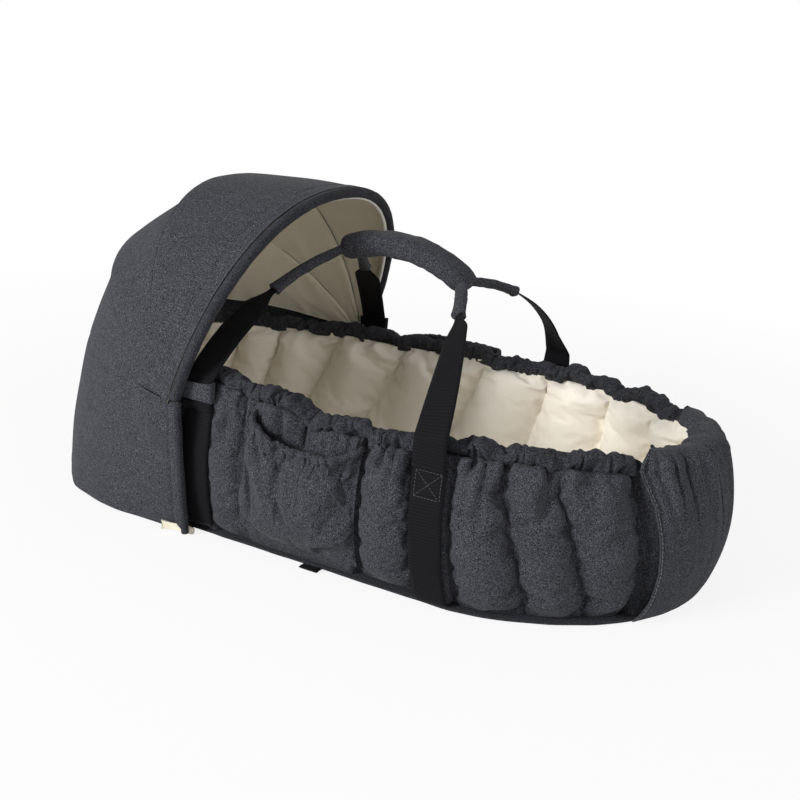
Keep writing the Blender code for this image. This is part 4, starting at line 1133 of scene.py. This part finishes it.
handleSet = {
    "hingeY": 0.187, "hingeZ": 0.1425, "corner": (0.1865, 0.172), "arch": (0.120, 0.2665),
    "frontX": (0.163, 0.156, 0.106), "rearX": (-0.098, -0.080, -0.032), "tubeRadius": 0.0066,
    "tubeFrom": {"front": 0.66, "rear": 0.56},
    "gripX": (-0.034, 0.108), "gripTop": 0.324, "gripHeight": 0.024, "gripWidth": 0.050, "rearFall": 0.014,
    "frontFall": 0.036, "steps": 90, "webbingY": 0.0084, "footStep": 0.0073,
    "pastSleeve": 0.020, "narrowFrom": 0.13, "narrowOver": 0.12, "endWidth": 0.0100,
    "rearBend": 0.170, "frontBendRise": 0.002, "bendLength": 0.040,
    "turns": {"nearfront": (-52, 0.95), "farfront": (-46, 0.45)},  # degrees, and the share of the strap they take
    "gripWebbing": {"width": 0.016, "thickness": 0.0065, "ends": {"rear": 0.008, "front": -0.012}},
}


def wallPath(x, low, standOff, sign, count=60):
    # Up the outside of the wall from a height to the top of the webbing.
    x, z = np.linspace(*x, count), np.linspace(low, webbingSet["top"], count)
    return np.stack([x, sign * besideWall(x, z, sign, standOff), z], -1)


def makeWallWebbing(name, sign):
    path = wallPath(webbingSet["frontX"], *webbingSet["frontFoot"], sign)
    path[:, 1] += sign * 0.0006 * np.sin(np.linspace(0, 9, len(path)))
    strap(name + "FrontWebbing", path, (1, 0, 0), webbingSet["width"], webbingSet["thickness"], [blackWebbing],
          "nest", (name + "_front_webbing",))
    half = np.array([webbingSet["width"] / 2 - webbingSet["boxMargin"], 0, 0])
    top, bottom = placeAt(webbingSet["box"], path[:, 2], path)
    a, b, c, d = top - half, bottom - half, bottom + half, top + half
    lines = [evenly(np.array(line), 24) for line in ((a, b), (b, c), (c, d), (d, a), (a, c), (b, d))]
    for line in lines:
        line[:, 1] = np.interp(line[:, 2], path[:, 2], path[:, 1]) + sign * (webbingSet["thickness"] / 2 + 0.0001)
    stitches(name + "BoxStitching", lines, darkThread, length=0.0026, gap=0.0009, radius=0.00028,
             facing=(0, 1, 0))
    path = wallPath(webbingSet["rearX"], *webbingSet["rearFoot"], sign)
    strap(name + "RearWebbing", path, (1, 0, 0), webbingSet["width"], webbingSet["thickness"], [blackWebbing],
          "nest", (name + "_rear_webbing",))


def gripHeightAt(x):
    # The middle of the grip, which falls away to both of its ends.
    x0, x1 = handleSet["gripX"]
    share = (x - x0) / (x1 - x0)
    fall = handleSet["rearFall"] * (1 - share) ** 3 + handleSet["frontFall"] * np.maximum(share, 0) ** 3
    return handleSet["gripTop"] - handleSet["gripHeight"] / 2 - fall


def legPath(end, sign):
    # From the hinge straight up, then in a curve to the grip. t is 0 up to the curve and 1 at the grip.
    xs = handleSet[end + "X"]
    t = np.linspace(0, 1, handleSet["steps"])
    weights = np.stack([(1 - t) ** 2, 2 * t * (1 - t), t * t], -1)
    y = weights @ np.array([handleSet["corner"][0], handleSet["arch"][0], handleSet["webbingY"]])
    z = weights @ np.array([handleSet["corner"][1], handleSet["arch"][1], float(gripHeightAt(xs[-1]))])
    x = weights @ np.array(xs)
    foot = np.array([[xs[0], 0, handleSet["hingeZ"] + k * handleSet["footStep"]] for k in range(4)])
    foot[:, 1] = mix(handleSet["hingeY"] - 0.0008, handleSet["corner"][0], np.linspace(0, 1, 4))
    path = np.vstack([foot, np.stack([x, y, z], -1)])
    path[:, 1] *= sign
    return path, np.concatenate([np.zeros(4), t])


def makeLeg(name, end, sign):
    # A flat strap that bends at the rim and narrows into the sewn sleeve, and that sleeve up to the grip.
    path, t = legPath(end, sign)
    start = handleSet["tubeFrom"][end]
    isFlat = t <= start + handleSet["pastSleeve"]
    narrow = smooth((t[isFlat] - (start - handleSet["narrowFrom"])) / handleSet["narrowOver"])
    width = mix(webbingSet["width"], handleSet["endWidth"], narrow)
    along = np.linspace(0, 1, handleSet["steps"])
    turn, within = handleSet["turns"].get(name + end, (0, 1.0))
    twist = np.radians(turn * smooth(along / within))
    piece = strap(name + end.title() + "Strap", evenly(path[isFlat], len(along)),
                  np.stack([np.cos(twist), np.sin(twist), 0 * twist], -1),
                  np.interp(along, np.linspace(0, 1, len(width)), width), webbingSet["thickness"], [blackWebbing],
                  None, (f"{name}_{end}_strap",))
    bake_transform(piece)
    angle = anglesRound(16)
    ends = np.linspace(0, 1, 70)
    swell = (1 + 0.07 * lumps(ends[:, None] * 7, angle[None] * 1.0, 171)
             + 0.05 * lumps(ends[:, None] * 16, angle[None] * 1.6, 172))
    radius = handleSet["tubeRadius"] * (1.0 + 0.22 * np.exp(-ends / 0.05)) * (1 - 0.3 * np.exp(-(1 - ends) / 0.06))
    sleeve = tube(name + end.title() + "StrapSleeve", evenly(path[t >= start], len(ends)), radius, [melangeCloth],
                  name + "_handle", (f"{name}_{end}_strap_sleeve",), len(angle),
                  ((1, 0, 0), 0.78), bumps=swell)


def makeGrip():
    # The padded sleeve round both webbings: a squarish tube that narrows and gathers at its ends.
    x0, x1 = handleSet["gripX"]
    x = np.linspace(x0 - 0.003, x1 + 0.003, 150)
    path = np.stack([x, np.zeros_like(x), gripHeightAt(x)], -1)
    share = np.linspace(0, 1, len(x))
    angle = anglesRound(40)
    fromEnd = np.minimum(share, 1 - share)
    size = 0.62 + 0.38 * np.sqrt(1 - (1 - np.clip(fromEnd / 0.10, 0, 1)) ** 2)
    gathers = 0.05 * np.exp(-fromEnd[:, None] / 0.07) * lumps(share[:, None] * 5, angle[None] * 3.3, 183)
    ripple = (1 + 0.045 * lumps(share[:, None] * 9, angle[None] * 1.2, 181)
              + 0.035 * lumps(share[:, None] * 24, angle[None] * 2.0, 182) + gathers)
    squared = (np.abs(np.cos(angle)) ** 3 + np.abs(np.sin(angle)) ** 3) ** (-1 / 3) / 1.06
    piece = tube("gripSleeve", path, handleSet["gripWidth"] / 2 * size, [melangeCloth], "near_handle",
                 ("grip_sleeve",), len(angle),
                 ((0, 1, 0), mix(1.28, 0.98, share) * handleSet["gripHeight"] / handleSet["gripWidth"]),
                 bumps=ripple * squared[None])
    webbing = handleSet["gripWebbing"]
    for name, sign in (("near", -1), ("far", 1)):
        xs = np.linspace(*(handleSet[end + "X"][-1] + past for end, past in webbing["ends"].items()), 40)
        line = np.stack([xs, np.full_like(xs, sign * handleSet["webbingY"]), gripHeightAt(xs)], -1)
        strap(name + "GripWebbing", line, (0, 1, 0), webbing["width"], webbing["thickness"], [blackWebbing],
              name + "_handle", (name + "_grip_webbing",), divisions=12)


# The far loop is the near loop's grey cloth lying in shadow. It is drawn in the black webbing's finish as painted
# shade.
loopSet = {"around": 64, "rows": 12, "power": 5.0, "thickness": 0.0013, "droop": 0.0012, "lean": 0.00036,
           "looksWithFarPaintedShade": {"near": (melangeCloth, "wool_look_fabric"), "far": (blackWebbing, "black_webbing")}}


def makeStrapLoop(name, material, slotName):
    # A band of cloth round the strap, a squarish ring with a real thickness that droops a little.
    low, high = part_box(name + "_strap_loop")
    centre = (low + high) / 2
    half = (high - low) / 2
    angle = anglesRound(loopSet["around"])
    cx, cy = (np.sign(part) * np.abs(part) ** (2 / loopSet["power"]) for part in (np.cos(angle), np.sin(angle)))
    up = np.linspace(-1, 1, loopSet["rows"])
    rings = []
    for grow, zs in ((0.0, up), (-loopSet["thickness"], up[::-1])):
        for z in zs:
            rings.append(np.stack([centre.x + cx * (half.x + grow) + loopSet["lean"] * z * np.sign(cy),
                                   centre.y + cy * (half.y + grow + 0.0004 * np.cos(3 * angle)),
                                   centre.z + z * half.z * 1.02 + loopSet["droop"] * np.cos(angle) * z], -1))
    newPiece(name + "StrapLoop", np.stack(rings), gridFaces(len(rings), len(angle), True, True), [material], "nest",
             (name + "_strap_loop",))


for sideName, sideSign in (("near", -1), ("far", 1)):
    makeWallWebbing(sideName, sideSign)
    for endName in ("front", "rear"):
        makeLeg(sideName, endName, sideSign)
    makeStrapLoop(sideName, *loopSet["looksWithFarPaintedShade"][sideName])
makeGrip()
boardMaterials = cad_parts["base_board"].data.materials
boardMaterials.clear()
boardMaterials.append(pressedBoard)
print("straps and handles made")
